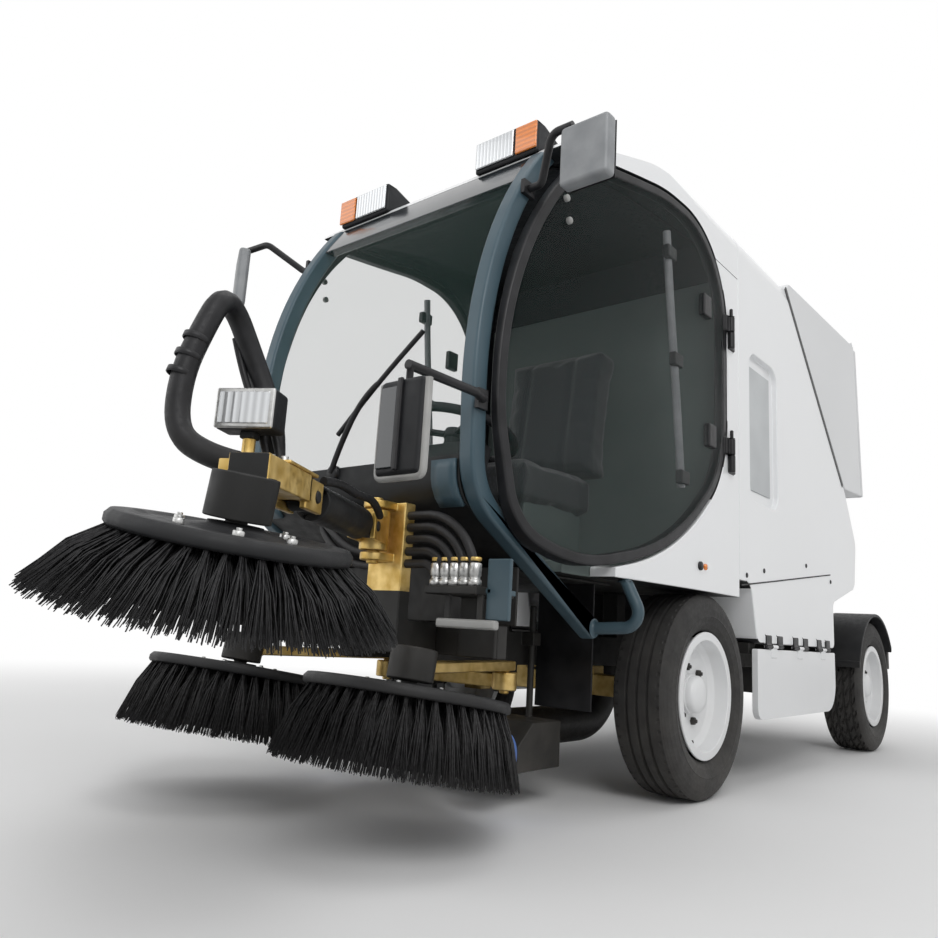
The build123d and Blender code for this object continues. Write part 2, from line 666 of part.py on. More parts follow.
def save_lamps_and_mirrors(cab):
    """Head lamps on the roof's front edge, and the mirrors with their arms."""
    face_x = ROOF_LIP_X
    lens_t = 8.0
    low = ROOF_LIP - 4
    high = low + LAMP_H
    points = [(face_x, low), (face_x, high), (face_x - 40, high), (face_x - 230, low + 50)]
    wedge = outline(points, [0, 6, 20, 0])
    housing = along_y(wedge, LAMP_Y0, LAMP_Y1) - cab
    lens = block(face_x, face_x + lens_t, LAMP_Y0 + 8, LAMP_SPLIT - 4, low + 12, high - 8)
    indicator = block(face_x, face_x + lens_t, LAMP_SPLIT + 4, LAMP_Y1, low + 12, high - 8)
    save("roof_lamps", both(housing))
    save("roof_lamp_lenses", both(lens))
    save("roof_indicators", both(indicator))
    outer_face = PILLAR_Y + PILLAR_W / 2
    turn = math.radians(FAR_MIRROR_TURN)
    far_y = HALF_REACH - FAR_MIRROR_W / 2 * math.cos(turn) - FAR_MIRROR_T / 2 * math.sin(turn)
    far_place = Pos(FAR_MIRROR_X, -far_y, FAR_MIRROR_Z + FAR_MIRROR_H / 2) * Rot(0, 0, -FAR_MIRROR_TURN)
    top_z = MIRROR_Z + MIRROR_H
    far_top = FAR_MIRROR_Z + FAR_MIRROR_H
    low_x = LOW_MIRROR_X
    low_y = PILLAR_Y + 54
    heads = [
        Pos(MIRROR_X, MIRROR_Y + MIRROR_W / 2, top_z - MIRROR_H / 2) * Box(MIRROR_T, MIRROR_W, MIRROR_H),
        far_place * Box(FAR_MIRROR_T, FAR_MIRROR_W, FAR_MIRROR_H),
        block(low_x - 15, low_x + 15, low_y - 65, low_y + 65, 780, 990),
    ]
    save("mirror_heads", Part() + heads)
    # Each arm: foot on the pillar's outer face, then the points up to its mirror
    arm_r = MIRROR_ARM_R
    hanger_r = arm_r - 3
    foot_x = (ARM_FOOT_X - 25, ARM_FOOT_X + 25)
    foot_z = (ARM_FOOT_Z - 20, ARM_FOOT_Z + 20)
    level = top_z + arm_r + 1
    hang = MIRROR_Y + 25
    left_path = [
        (ARM_FOOT_X, outer_face + 6, ARM_FOOT_Z),
        (ARM_FOOT_X, outer_face + 50, ARM_FOOT_Z),
        (MIRROR_X, hang - 65, level),
        (MIRROR_X, hang, level),
    ]
    left_arm = block(*foot_x, outer_face, outer_face + 12, *foot_z) + tube(left_path, [25, 40], arm_r)
    left_arm += rod((MIRROR_X, hang - 5, level), (MIRROR_X, hang - 5, top_z), hanger_r)
    level = far_top + arm_r + 1
    right_path = [
        (ARM_FOOT_X, -outer_face - 6, ARM_FOOT_Z),
        (ARM_FOOT_X, -outer_face - 50, ARM_FOOT_Z),
        (FAR_MIRROR_X - 10, -600, level),
        (FAR_MIRROR_X, -far_y, level),
    ]
    right_arm = block(*foot_x, -outer_face - 12, -outer_face, *foot_z) + tube(right_path, [25, 40], arm_r)
    right_arm += rod((FAR_MIRROR_X, 8 - far_y, level), (FAR_MIRROR_X, 8 - far_y, far_top), hanger_r)
    low_arm = block(1050, 1086, outer_face, outer_face + 12, 1000, 1050)
    low_arm += tube([(1068, outer_face + 12, 1025), (1120, low_y, 1025), (low_x, low_y, 1025)], [20], arm_r)
    low_arm += rod((low_x - 8, low_y, 1025), (low_x - 8, low_y, 990), hanger_r)
    save("mirror_arms", left_arm + right_arm + low_arm)


# Engine housing and skirts

def deck_points():
    """Side outline of the engine housing, which slopes down under the hopper."""
    points = [
        (BODY_FRONT, 2030.0),
        (-720.0, 2035.0),
        (-1580.0, 1235.0),
        (-1745.0, 1000.0),
        (-1700.0, 780.0),
        (SKIRT_REAR, 690.0),
        (SKIRT_REAR, BODY_BOTTOM),
        (SKIRT_FRONT, BODY_BOTTOM),
        (-345.0, 700.0),
        (BODY_FRONT, 700.0),
    ]
    return points, [0, 25, 60, 80, 60, 40, 25, 40, 60, 0]


def body_volume(inset):
    """Closed volume of the engine housing, drawn in by the inset on every side."""
    side = outline(*deck_points(), inset)
    across = outline(
        [(-CAB_HALF, 300), (CAB_HALF, 300), (CAB_HALF, 2036), (-CAB_HALF, 2036)],
        [0, 0, SHOULDER_R, SHOULDER_R],
        inset,
    )
    return along_y(side, -CAB_HALF, CAB_HALF) & along_x(across, -2000, 0)


def save_body():
    """Engine housing: left and right panels and the deck between them."""
    outer = body_volume(0)
    inner = body_volume(BODY_WALL)
    shell = outer - inner
    left = shell & block(-2000, 0, DECK_HALF, CAB_HALF, 0, 2200)
    recess = outline([(-345, 1000), (-640, 1000), (-640, 1570), (-345, 1570)], [60, 60, 60, 60])
    left -= along_y(recess, CAB_HALF - RECESS_DEPTH, CAB_HALF + 10)
    # Skirt hinges along the lower edge: position along X
    for x in (-560.0, -860.0, -1160.0):
        left += skirt_knuckles(x, (-60, 60))
    deck = shell & block(-2000, 0, -DECK_HALF, DECK_HALF, 1000, 2200)
    deck -= block(-2000, -1100, -SLOT_HALF, SLOT_HALF, 900, 2200)
    save("body_panels", both(left))
    save("body_deck", deck)


def skirt_hinge():
    """Position of the left skirt's hinge line in Y and Z."""
    return CAB_HALF + 3.0, SKIRT_TOP + 10.0


def skirt_knuckles(x, places):
    """Fixed hinge knuckles on the body panel, with their pin."""
    y, z = skirt_hinge()
    piece = rod((x - 90, y, z), (x + 90, y, z), 3.0)
    for place in places:
        low = x + place - 30 + SEAT
        high = x + place + 30 - SEAT
        piece += rod((low, y, z), (high, y, z), SKIRT_HINGE_R)
        piece += block(low, high, CAB_HALF, CAB_HALF + 6, z, BODY_BOTTOM + 30)
    return piece


def skirt():
    """Left skirt panel that swings up on hinges along its top edge."""
    y, z = skirt_hinge()
    face = outline(
        [(SKIRT_FRONT, SKIRT_TOP), (SKIRT_REAR, SKIRT_TOP), (SKIRT_REAR, SKIRT_Z0), (SKIRT_FRONT, SKIRT_Z0)],
        [10, 10, 120, 40],
    )
    panel = along_y(face, CAB_HALF - SKIRT_T, CAB_HALF)
    for x in (-560.0, -860.0, -1160.0):
        barrel = rod((x - 30, y, z), (x + 30, y, z), SKIRT_HINGE_R)
        barrel += block(x - 30, x + 30, CAB_HALF - 6, CAB_HALF + 4, SKIRT_TOP - 30, z)
        panel += barrel
        panel -= rod((x - 40, y, z), (x + 40, y, z), 3.0 + RUN)
    return panel


def rear_guard():
    """Left rear mudguard with its stay from the rail."""
    inner = TYRE_R + 28
    outer = inner + 15
    ring = Pos(-WHEELBASE, 492, TYRE_R) * Rot(90, 0, 0) * (Cylinder(outer, 196) - Cylinder(inner, 220))
    keep = block(-WHEELBASE - GUARD_REAR, -WHEELBASE + 500, 300, 700, TYRE_R + 90, 1000)
    stay_x = -WHEELBASE + math.sqrt(outer ** 2 - 90 ** 2)
    stay = block(stay_x - 30, stay_x, RAIL_Y + RAIL_W / 2, 590, TYRE_R + 90, TYRE_R + 120)
    stay -= Pos(-WHEELBASE, 492, TYRE_R) * Rot(90, 0, 0) * Cylinder(inner, 800)
    return (ring & keep) + stay


# Hopper and tipping gear

HOPPER_POINTS = [(-765.0, 2035.0), (-1875.0, 2075.0), (-1925.0, 1270.0), (-1620.0, 1255.0)]


def tail_hinge():
    """Position of the tailgate's hinge line in X and Z."""
    x, z = HOPPER_POINTS[1]
    return x - 20.0, z + TAIL_HINGE_R + 2


def hopper():
    """Hollow hopper, open at the rear, with lugs to the tipping pin and for the cylinder."""
    corners = [40, 0, 0, 60]
    body = along_y(outline(HOPPER_POINTS, corners), -HOPPER_HALF, HOPPER_HALF)
    rear_top = HOPPER_POINTS[1][1] - HOPPER_WALL
    rear_low = HOPPER_POINTS[2][1] + HOPPER_WALL
    wide = HOPPER_HALF - HOPPER_WALL
    body -= along_y(outline(HOPPER_POINTS, corners, HOPPER_WALL), -wide, wide)
    body -= block(-2000, -1800, -wide, wide, rear_low, rear_top)
    hinge_x, hinge_z = tail_hinge()
    for side in (-1, 1):
        span = sorted((side * (UPRIGHT_Y1 + GAP), side * (UPRIGHT_Y1 + GAP + LUG_T)))
        lug = block(TIP_X - 45, TIP_X + 45, *span, TIP_Z, HOPPER_POINTS[2][1] - 4)
        lug += block(TIP_X - 70, TIP_X + 120, *span, HOPPER_POINTS[2][1] - 60, HOPPER_POINTS[2][1] + 2)
        lug += rod((TIP_X, span[0], TIP_Z), (TIP_X, span[1], TIP_Z), 45)
        lug -= rod((TIP_X, span[0] - 1, TIP_Z), (TIP_X, span[1] + 1, TIP_Z), TIP_PIN_R + RUN)
        ear = sorted((side * 26, side * 38))
        reach = block(RAM_EYE_X - 28, RAM_EYE_X + 28, *ear, RAM_EYE_Z - 10, RAM_EYE_Z + 110)
        body += lug + (reach - along_y(outline(HOPPER_POINTS, corners, 2.0), -wide, wide))
        # Hinge knuckle of the tailgate and the pin in it
        place = sorted((side * 430, side * 490))
        body += rod((hinge_x, place[0], hinge_z), (hinge_x, place[1], hinge_z), TAIL_HINGE_R)
        body += block(hinge_x - 5, hinge_x + 70, *place, hinge_z - TAIL_HINGE_R - 8, hinge_z)
        pin_end = side * 560
        body += rod((hinge_x, place[0], hinge_z), (hinge_x, pin_end, hinge_z), 6.0)
    return body


def hopper_tailgate():
    """Tailgate hung from its top edge, with the round air outlet hood on it."""
    top_x, top_z = HOPPER_POINTS[1]
    low_x, low_z = HOPPER_POINTS[2]
    clear = GAP
    points = [
        (top_x - clear, top_z - GATE_DROP),
        (low_x - clear, low_z + 2),
        (low_x - clear - TAIL_T, low_z + 2),
        (top_x - clear - TAIL_T, top_z - GATE_DROP),
    ]
    gate = along_y(Face(Polyline(*points, close=True)), -HOPPER_HALF, HOPPER_HALF)
    start = low_x - clear
    end = -HOOD_REACH + HOOD_R
    hood_z = 1575.0
    hood = block(end, start, -HOOD_HALF, HOOD_HALF, hood_z - HOOD_R, hood_z + HOOD_R)
    hood += rod((end, -HOOD_HALF, hood_z), (end, HOOD_HALF, hood_z), HOOD_R)
    wall = 20.0
    room_r = HOOD_R - wall
    room_half = HOOD_HALF - wall
    room = block(end, start + 60, -room_half, room_half, hood_z - room_r, hood_z + room_r)
    room += rod((end, -room_half, hood_z), (end, room_half, hood_z), room_r)
    gate = gate + hood - room
    inside = [(top_x - clear, top_z), (low_x - clear, low_z), (-1500, low_z), (-1500, top_z)]
    gate -= along_y(Face(Polyline(*inside, close=True)), -HOPPER_HALF, HOPPER_HALF)
    hinge_x, hinge_z = tail_hinge()
    for side in (-1, 1):
        place = sorted((side * (490 + SEAT), side * 555))
        gate += rod((hinge_x, place[0], hinge_z), (hinge_x, place[1], hinge_z), TAIL_HINGE_R)
        gate += block(hinge_x - 20, hinge_x + 2, *place, top_z - 60, hinge_z)
        gate -= rod((hinge_x, place[0] - 1, hinge_z), (hinge_x, place[1] + 1, hinge_z), 6.0 + RUN)
    return gate


def save_ram():
    """Tipping cylinder: tube on the chassis and rod to the hopper."""
    base = Vector(RAM_BASE_X, 0, RAM_BASE_Z)
    axis = ram_direction()
    length = (Vector(RAM_EYE_X, 0, RAM_EYE_Z) - base).length
    gland = 20.0
    tube_body = rod(base, base + axis * RAM_TUBE, RAM_R)
    tube_body -= rod(base + axis * 60, base + axis * (RAM_TUBE - gland), RAM_R - 8)
    tube_body -= rod(base + axis * 60, base + axis * (RAM_TUBE + 1), RAM_ROD_R + RUN)
    tube_body += rod(base + Vector(0, -44, 0), base + Vector(0, 44, 0), RAM_R)
    tube_body += rod(base + Vector(0, -62, 0), base + Vector(0, 62, 0), ARM_PIN_R)
    save("tip_cylinder", tube_body)
    eye = base + axis * length
    bar = rod(base + axis * 180, eye, RAM_ROD_R)
    bar += rod(eye + Vector(0, -21, 0), eye + Vector(0, 21, 0), RAM_ROD_R + 2)
    save("tip_rod", bar)


# Brushes

def brush(tip_r, top_r, height):
    """Cup brush on its own axis, with the bristle tips at height zero."""
    ring = Cone(tip_r, top_r, height, align=(Align.CENTER, Align.CENTER, Align.MIN))
    ring -= Cone(tip_r - 80, top_r - 90, height, align=(Align.CENTER, Align.CENTER, Align.MIN))
    plate = Pos(0, 0, height) * Cylinder(top_r + 5, PLATE_T, align=(Align.CENTER, Align.CENTER, Align.MIN))
    hub = Pos(0, 0, height - 20) * Cylinder(45, PLATE_T + 30, align=(Align.CENTER, Align.CENTER, Align.MIN))
    bore = Pos(0, 0, height - 21) * Cylinder(
        MOTOR_SHAFT_R + RUN, PLATE_T + 60, align=(Align.CENTER, Align.CENTER, Align.MIN)
    )
    return ring + plate + hub - bore


def motor(height):
    """Brush motor above a brush of that bristle height, with its shaft."""
    foot = height + PLATE_T + MOTOR_FOOT + GAP
    body = Pos(0, 0, foot) * Cylinder(MOTOR_R, MOTOR_H, align=(Align.CENTER, Align.CENTER, Align.MIN))
    shaft = Pos(0, 0, height - 15) * Cylinder(
        MOTOR_SHAFT_R, 80, align=(Align.CENTER, Align.CENTER, Align.MIN)
    )
    return body + shaft


def brush_beam():
    """Beam that lowers both side brushes, on a pin in the chassis lugs."""
    beam = rod((LIFT_X, -RAIL_Y - 25, LIFT_Z), (LIFT_X, RAIL_Y + 25, LIFT_Z), LIFT_PIN_R)
    beam += block(ARM_X - 20, ARM_X + 20, -ARM_Y, ARM_Y, LIFT_Z - 20, LIFT_Z + 20)
    for side in (-1, 1):
        low, high = sorted((side * 85, side * 115))
        beam += block(LIFT_X - 25, ARM_X, low, high, LIFT_Z - 18, LIFT_Z + 18)
        beam += Pos(ARM_X, side * ARM_Y, LIFT_Z) * Cylinder(35, 50)
    for side in (-1, 1):
        beam -= Pos(ARM_X, side * ARM_Y, LIFT_Z) * Cylinder(ARM_PIN_R + RUN, 200)
    return beam


def brush_place():
    """Place of the left side brush, tilted up at the front."""
    return Pos(BRUSH_X, BRUSH_Y, BRUSH_Z) * Rot(0, -BRUSH_TILT, 0)


def brush_arm():
    """Left brush arm: pin in the beam, flat bar and motor."""
    start = Vector(ARM_X, ARM_Y)
    head = brush_place() * Pos(0, 0, BRUSH_H + PLATE_T + 50)
    end = head.position
    span = Vector(end.X, end.Y) - start
    angle = math.degrees(math.atan2(span.Y, span.X))
    bar = Pos(start.X, start.Y, ARM_Z) * Rot(0, 0, angle) * Pos(span.length / 2, 0, ARM_T / 2)
    arm = bar * Box(span.length, ARM_W, ARM_T)
    arm += Pos(ARM_X, ARM_Y, ARM_Z + ARM_T / 2) * Cylinder(ARM_W / 2, ARM_T)
    arm += rod((ARM_X, ARM_Y, LIFT_Z - 35), (ARM_X, ARM_Y, ARM_Z + ARM_T / 2), ARM_PIN_R)
    return arm + brush_place() * motor(BRUSH_H)


def front_brush_place():
    """Place of the front brush, tilted down on its outer side."""
    return Pos(FRONT_BRUSH_X, FRONT_BRUSH_Y, FRONT_BRUSH_Z) * Rot(-FRONT_BRUSH_TILT, 0, 0)


def boom_span():
    """Plan vector from the swing axis to the top of the front brush motor."""
    motor_top = FRONT_BRUSH_H + PLATE_T + MOTOR_FOOT + GAP + MOTOR_H
    target = (front_brush_place() * Pos(0, 0, motor_top)).position
    return Vector(target.X - BOOM_X, target.Y - BOOM_Y)


def boom_place():
    """Frame of the boom: X along the arm, origin on the swing axis."""
    span = boom_span()
    return Pos(BOOM_X, BOOM_Y, BOOM_Z) * Rot(0, 0, math.degrees(math.atan2(span.Y, span.X)))


def boom_base():
    """Bracket on the chassis beam: foot, column and two ears for the swing pin."""
    face = RAIL_FRONT + BEAM_X
    front = COLUMN_X + COLUMN_T
    low_y = BOOM_Y - COLUMN_HALF
    high_y = BOOM_Y + COLUMN_HALF
    base = block(face, front, low_y, high_y, BEAM_Z0, BEAM_Z0 + BEAM_H)
    base += block(COLUMN_X, front, low_y, high_y, BEAM_Z0, BOOM_Z + 75)
    for low in (BOOM_Z - 75, BOOM_Z + 55):
        base += block(COLUMN_X, BOOM_X, BOOM_Y - 32, BOOM_Y + 32, low, low + 20)
        base += Pos(BOOM_X, BOOM_Y, low + 10) * Cylinder(32, 20)
    return base - Pos(BOOM_X, BOOM_Y, BOOM_Z) * Cylinder(LIFT_PIN_R + RUN, 400)


def boom_root():
    """Swing block with its pin and the cheeks for the lift pin."""
    root = Cylinder(36, 100) + Cylinder(LIFT_PIN_R, 165)
    for side in (-1, 1):
        low, high = sorted((side * 22, side * 34))
        root += block(0, BOOM_LIFT + 25, low, high, -32, 32)
    root -= block(BOOM_LIFT - 34, BOOM_LIFT + 40, -22, 22, -60, 60)
    root -= rod((BOOM_LIFT, -60, 0), (BOOM_LIFT, 60, 0), BOOM_PIN_R + RUN)
    return boom_place() * root


def boom_arm():
    """Round arm with an eye and pin at each end."""
    arm = rod((BOOM_LIFT + 55, 0, 0), (BOOM_LEVEL - 55, 0, 0), BOOM_R)
    arm += block(BOOM_LIFT, BOOM_LEVEL, -20, 20, -24, 24)
    for x in (BOOM_LIFT, BOOM_LEVEL):
        arm += rod((x, -20, 0), (x, 20, 0), 28) + rod((x, -37, 0), (x, 37, 0), BOOM_PIN_R)
    return boom_place() * arm


def boom_head():
    """Head with its cheeks, brush motor and lamp post."""
    head = block(BOOM_LEVEL + 45, boom_span().length, -36, 36, -16, 34)
    for side in (-1, 1):
        low, high = sorted((side * 22, side * 34))
        head += block(BOOM_LEVEL - 25, BOOM_LEVEL + 60, low, high, -30, 30)
    head -= rod((BOOM_LEVEL, -60, 0), (BOOM_LEVEL, 60, 0), BOOM_PIN_R + RUN)
    # Bracket and post of the work lamp, then the two feet of the sleeved hose
    head += block(LAMP_U - 20, LAMP_U + 20, -95, -30, 10, 34)
    head += rod((LAMP_U, LAMP_V, 20), (LAMP_U, LAMP_V, LAMP_W), 12)
    head += block(HOSE_FRONT_U - 25, HOSE_FRONT_U + 25, HOSE_V - 25, -30, 10, 34)
    head += block(HOSE_REAR_U - 25, HOSE_REAR_U + 25, HOSE_V - 25, -30, 14, 30)
    return boom_place() * head + front_brush_place() * motor(FRONT_BRUSH_H)


def work_lamp():
    """Work lamp on the head's post."""
    return boom_place() * block(LAMP_U - 28, LAMP_U + 32, LAMP_V - 58, LAMP_V + 58, LAMP_W, LAMP_W + 78)


def boom_hose():
    """Sleeved hose bundle that loops from the motor to the head's bracket."""
    points = [
        (HOSE_FRONT_U, HOSE_V, 34),
        (HOSE_FRONT_U, HOSE_V, 120),
        (HOSE_FRONT_U - 10, -130, 260),
        (HOSE_FRONT_U - 55, -165, 350),
        (HOSE_REAR_U, -160, 345),
        (HOSE_REAR_U - 40, -115, 220),
        (HOSE_REAR_U, HOSE_V, 100),
        (HOSE_REAR_U, HOSE_V, 30),
    ]
    return boom_place() * tube(points, [120, 150, 60, 60, 150, 120], SLEEVE_R)


def hose_bracket():
    """Plate that carries the hydraulic couplings on the chassis beam."""
    face = RAIL_FRONT + BEAM_X
    front = COLUMN_X + COLUMN_T
    plate = block(face, front, BRACKET_Y0, BRACKET_Y1, BRACKET_Z - BRACKET_T, BRACKET_Z)
    return plate + block(face, face + 12, BRACKET_Y0, BEAM_HALF, BEAM_Z0, BRACKET_Z)


def hydraulic_hoses():
    """Hoses that rise from the bracket and bend over to the boom's foot."""
    x = COLUMN_X + COLUMN_T / 2
    end_y = BOOM_Y + COLUMN_HALF
    hoses = []
    for i in range(5):
        y = BRACKET_Y0 + 20 + 30 * i
        z = BRACKET_Z + 53 + 30 * i
        points = [(x, y, BRACKET_Z), (x, y, z), (x, end_y, z)]
        hoses.append(tube(points, [z - BRACKET_Z - 8], HOSE_R))
    return Part() + hoses


# Suction nozzle

def suction_nozzle():
    """Nozzle open at the bottom, with a fork for each roller."""
    top = NOZZLE_Z0 + NOZZLE_H
    points = [
        (NOZZLE_REAR, NOZZLE_Z0),
        (NOZZLE_FRONT, NOZZLE_Z0),
        (NOZZLE_FRONT, top - 60),
        (NOZZLE_FRONT - 70, top),
        (NOZZLE_REAR, top),
    ]
    face = outline(points, [0, 0, 10, 10, 0])
    nozzle = along_y(face, -NOZZLE_HALF, NOZZLE_HALF)
    room = NOZZLE_HALF - NOZZLE_WALL
    nozzle -= block(
        NOZZLE_REAR + NOZZLE_WALL, NOZZLE_FRONT - NOZZLE_WALL, -room, room, NOZZLE_Z0 - 1, top - 60
    )
    for side in (-1, 1):
        inner = side * (ROLLER_Y - ROLLER_W / 2 - 3)
        low, high = sorted((inner, inner - side * 10))
        nozzle += block(NOZZLE_FRONT, ROLLER_X + 18, low, high, ROLLER_Z - 16, ROLLER_Z + 16)
        pin_end = side * (ROLLER_Y + ROLLER_W / 2)
        nozzle += rod((ROLLER_X, inner, ROLLER_Z), (ROLLER_X, pin_end, ROLLER_Z), ROLLER_PIN_R)
        # Guide post, which stays in its bush as the nozzle goes down
        post_top = RAIL_Z + RAIL_H + NOZZLE_TRAVEL + GAP
        nozzle += rod((GUIDE_X, side * GUIDE_Y, top), (GUIDE_X, side * GUIDE_Y, post_top), GUIDE_R)
    return nozzle


def roller():
    """Left guide roller of the nozzle."""
    wheel = Cylinder(ROLLER_R, ROLLER_W) - Cylinder(ROLLER_PIN_R + RUN, 2 * ROLLER_W)
    return Pos(ROLLER_X, ROLLER_Y, ROLLER_Z) * Rot(90, 0, 0) * wheel


def suction_duct():
    """Duct from the nozzle back under the axle and up between the rails."""
    z = NOZZLE_Z0 + NOZZLE_H / 2
    return tube([(NOZZLE_REAR - SEAT, 0, z), (DUCT_X, 0, z), (DUCT_X, 0, 690)], [200], DUCT_R)


def main():
    """Builds every node and writes it to its own file."""
    os.makedirs("parts", exist_ok=True)
    save_wheels()
    cab = save_cab()
    save_lamps_and_mirrors(cab)
    save_body()
    save_ram()
    for name, shape in seat_pieces():
        save(name, shape)
    single = {
        "chassis_frame": chassis_frame() + rear_bumper(),
        "front_axle": front_axle(),
        "rear_axle": rear_axle(),
        "rear_lamps": rear_lamps(),
        "engine_block": engine_block(),
        "cab_frame": cab_frame(),
        "dashboard": dashboard(),
        "rear_guards": both(rear_guard()),
        "hopper": hopper(),
        "hopper_tailgate": hopper_tailgate(),
        "brush_beam": brush_beam(),
        "boom_base": boom_base(),
        "boom_root": boom_root(),
        "boom_arm": boom_arm(),
        "boom_head": boom_head(),
        "work_lamp": work_lamp(),
        "boom_hose": boom_hose(),
        "front_brush": front_brush_place() * brush(FRONT_TIP_R, FRONT_TOP_R, FRONT_BRUSH_H),
        "hydraulic_hoses": hydraulic_hoses(),
        "suction_nozzle": suction_nozzle(),
        "suction_duct": suction_duct(),
    }
    for name, shape in single.items():
        save(name, shape)
    paired = {
        "knuckle": knuckle(),
        "skirt": skirt(),
        "brush_arm": brush_arm(),
        "side_brush": brush_place() * brush(BRUSH_TIP_R, BRUSH_TOP_R, BRUSH_H),
        "nozzle_roller": roller(),
    }
    for name, shape in paired.items():
        save(name + "_left", shape)
        save(name + "_right", right(shape))


main()
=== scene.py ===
import json
import math
import random
from itertools import product

import bmesh
import bpy
import numpy as np
from mathutils import Matrix, Vector
from mathutils.bvhtree import BVHTree


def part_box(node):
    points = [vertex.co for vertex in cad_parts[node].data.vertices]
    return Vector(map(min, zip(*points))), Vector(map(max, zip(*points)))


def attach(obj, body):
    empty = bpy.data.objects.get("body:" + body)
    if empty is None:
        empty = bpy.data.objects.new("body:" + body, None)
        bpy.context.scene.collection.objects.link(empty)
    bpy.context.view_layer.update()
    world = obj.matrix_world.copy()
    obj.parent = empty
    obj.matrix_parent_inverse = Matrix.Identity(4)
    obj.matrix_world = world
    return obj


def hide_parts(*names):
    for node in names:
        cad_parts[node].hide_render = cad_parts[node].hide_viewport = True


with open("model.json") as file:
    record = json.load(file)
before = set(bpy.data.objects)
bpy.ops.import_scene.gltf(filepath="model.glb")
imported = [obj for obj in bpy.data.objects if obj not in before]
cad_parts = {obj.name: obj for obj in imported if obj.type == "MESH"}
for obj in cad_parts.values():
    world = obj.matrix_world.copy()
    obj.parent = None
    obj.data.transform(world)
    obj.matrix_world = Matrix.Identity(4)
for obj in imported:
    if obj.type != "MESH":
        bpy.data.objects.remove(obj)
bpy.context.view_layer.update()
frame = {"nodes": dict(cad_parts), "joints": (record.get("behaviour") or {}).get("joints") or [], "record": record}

NODES = frame["nodes"]
JOINTS = {joint["name"]: joint for joint in frame["joints"]}
SIDES = (("left", 1), ("right", -1))

# Camera, solved from the photograph: metres from the front axle on the ground, directions, pixels
CAMERA_AT = (2.5095, 1.6427, 0.4777)
CAMERA_RIGHT = (-0.6348, 0.7704, 0.0593)
CAMERA_UP = (0.1882, 0.0798, 0.9789)
FOCAL_PX = 801.23
IMAGE_PX = 938
SENSOR_MM = 36.0

# Tyre tread in metres, with its steps round the wheel and cells across it
TYRE_R = 0.317
TREAD_HALF = 0.072
TREAD_CROWN = 0.0025
GROOVE_DEPTH = 0.009
GROOVE_HALF = 0.0046
BLOCK_ROW = 0.033
SHOULDER = 0.060
SIPE_DEPTH = 0.004
TYRE_STEPS = 240
TREAD_CELLS = 48

# Wheel nuts, and the radius of their circle in metres
WHEEL_NUTS = 6
NUT_CIRCLE = 0.088

# Brushes in metres: plate radius, tip radius and bristle height
SIDE_BRUSH = (0.235, 0.290, 0.160)
FRONT_BRUSH = (0.190, 0.300, 0.110)
FRONT_BRUSH_SEED = 7
MOTOR_R = 0.062
BRUSH_BOLTS = 6
BOLT_CIRCLE = 0.10

# Bristles: tufts in a ring, strands in a tuft, and how far in the roots and tips of each ring lie, in metres
TUFTS = 46
STRANDS = 20
RINGS = ((0.016, 0.006), (0.040, 0.030), (0.064, 0.055))

# Seat pads in metres, and the share of the node that they start from
PAD_SHARE = 0.94
PAD_VOXEL = 0.012
PAD_SWELL = 0.022
CHANNEL_Y = 0.095
CHANNEL_HALF = 0.008
CHANNEL_DEPTH = 0.010
CLOTH_STEPS = 20
CLOTH_PRESSURE = 4.0

# Body skin: the half width past which a piece stands proud, in metres, and where trim sits, in millimetres
PROUD_Y = 0.5806
TRIM_Y = 580.4

# Where a second finish starts or ends, in metres: the body's sill, the boom column's foot, the low mirror
SILL_Z = 0.75
COLUMN_FOOT_Z = 0.56
LOW_MIRROR_X = 1.3

# Height in metres that the boom's own places are measured from
BOOM_Z = 0.705

# Road dust: colour, the height in metres that it reaches, and the height where it is thickest
DUST = (0.30, 0.27, 0.23, 1.0)
DUST_TOP = 0.9
DUST_FULL = 0.05

# Rounded edges: the angle from which an edge counts as sharp, and the steps in each round
SHARP = math.radians(30.0)
ROUND_STEPS = 3

# Starts of the rays that find a node's front, in metres, and its side, in millimetres
RAY_AHEAD = 5.0
RAY_OUT = 3000

# Floor in metres, with the distances between which it fades to white, and the strength of the world's light
FLOOR_REACH = 60
FLOOR_Z = -0.001
FADE_FROM = 1.8
FADE_TO = 6.0
WORLD_LIGHT = 0.5


def joint_at(name):
    """Place of a joint at rest."""
    return Vector(JOINTS[name]["pos_m"])


AXLE_X = joint_at("steer_left").x


def at(x, y, z):
    """Point in the frame from millimetres about the front axle on the ground."""
    return Vector((AXLE_X + x / 1000, y / 1000, z / 1000))


# Materials


def shader(name):
    """New material with its node tree and main shader."""
    material = bpy.data.materials.new(name)
    material.use_nodes = True
    tree = material.node_tree
    return material, tree, tree.nodes["Principled BSDF"]


def noise(tree, scale, detail=4.0, stretch=None):
    """Noise over the object's own coordinates, in cycles per metre."""
    place = tree.nodes.new("ShaderNodeTexCoord").outputs["Object"]
    if stretch:
        mapping = tree.nodes.new("ShaderNodeMapping")
        mapping.inputs["Scale"].default_value = stretch
        tree.links.new(place, mapping.inputs["Vector"])
        place = mapping.outputs["Vector"]
    texture = tree.nodes.new("ShaderNodeTexNoise")
    texture.inputs["Scale"].default_value = scale
    texture.inputs["Detail"].default_value = detail
    tree.links.new(place, texture.inputs["Vector"])
    return texture.outputs["Fac"]


def ramp(tree, value, stops):
    """Colour ramp from a list of positions and colours."""
    node = tree.nodes.new("ShaderNodeValToRGB")
    elements = node.color_ramp.elements
    while len(elements) < len(stops):
        elements.new(0.5)
    for element, (position, color) in zip(elements, stops):
        element.position = position
        element.color = (*color, 1.0)
    tree.links.new(value, node.inputs["Fac"])
    return node.outputs["Color"]


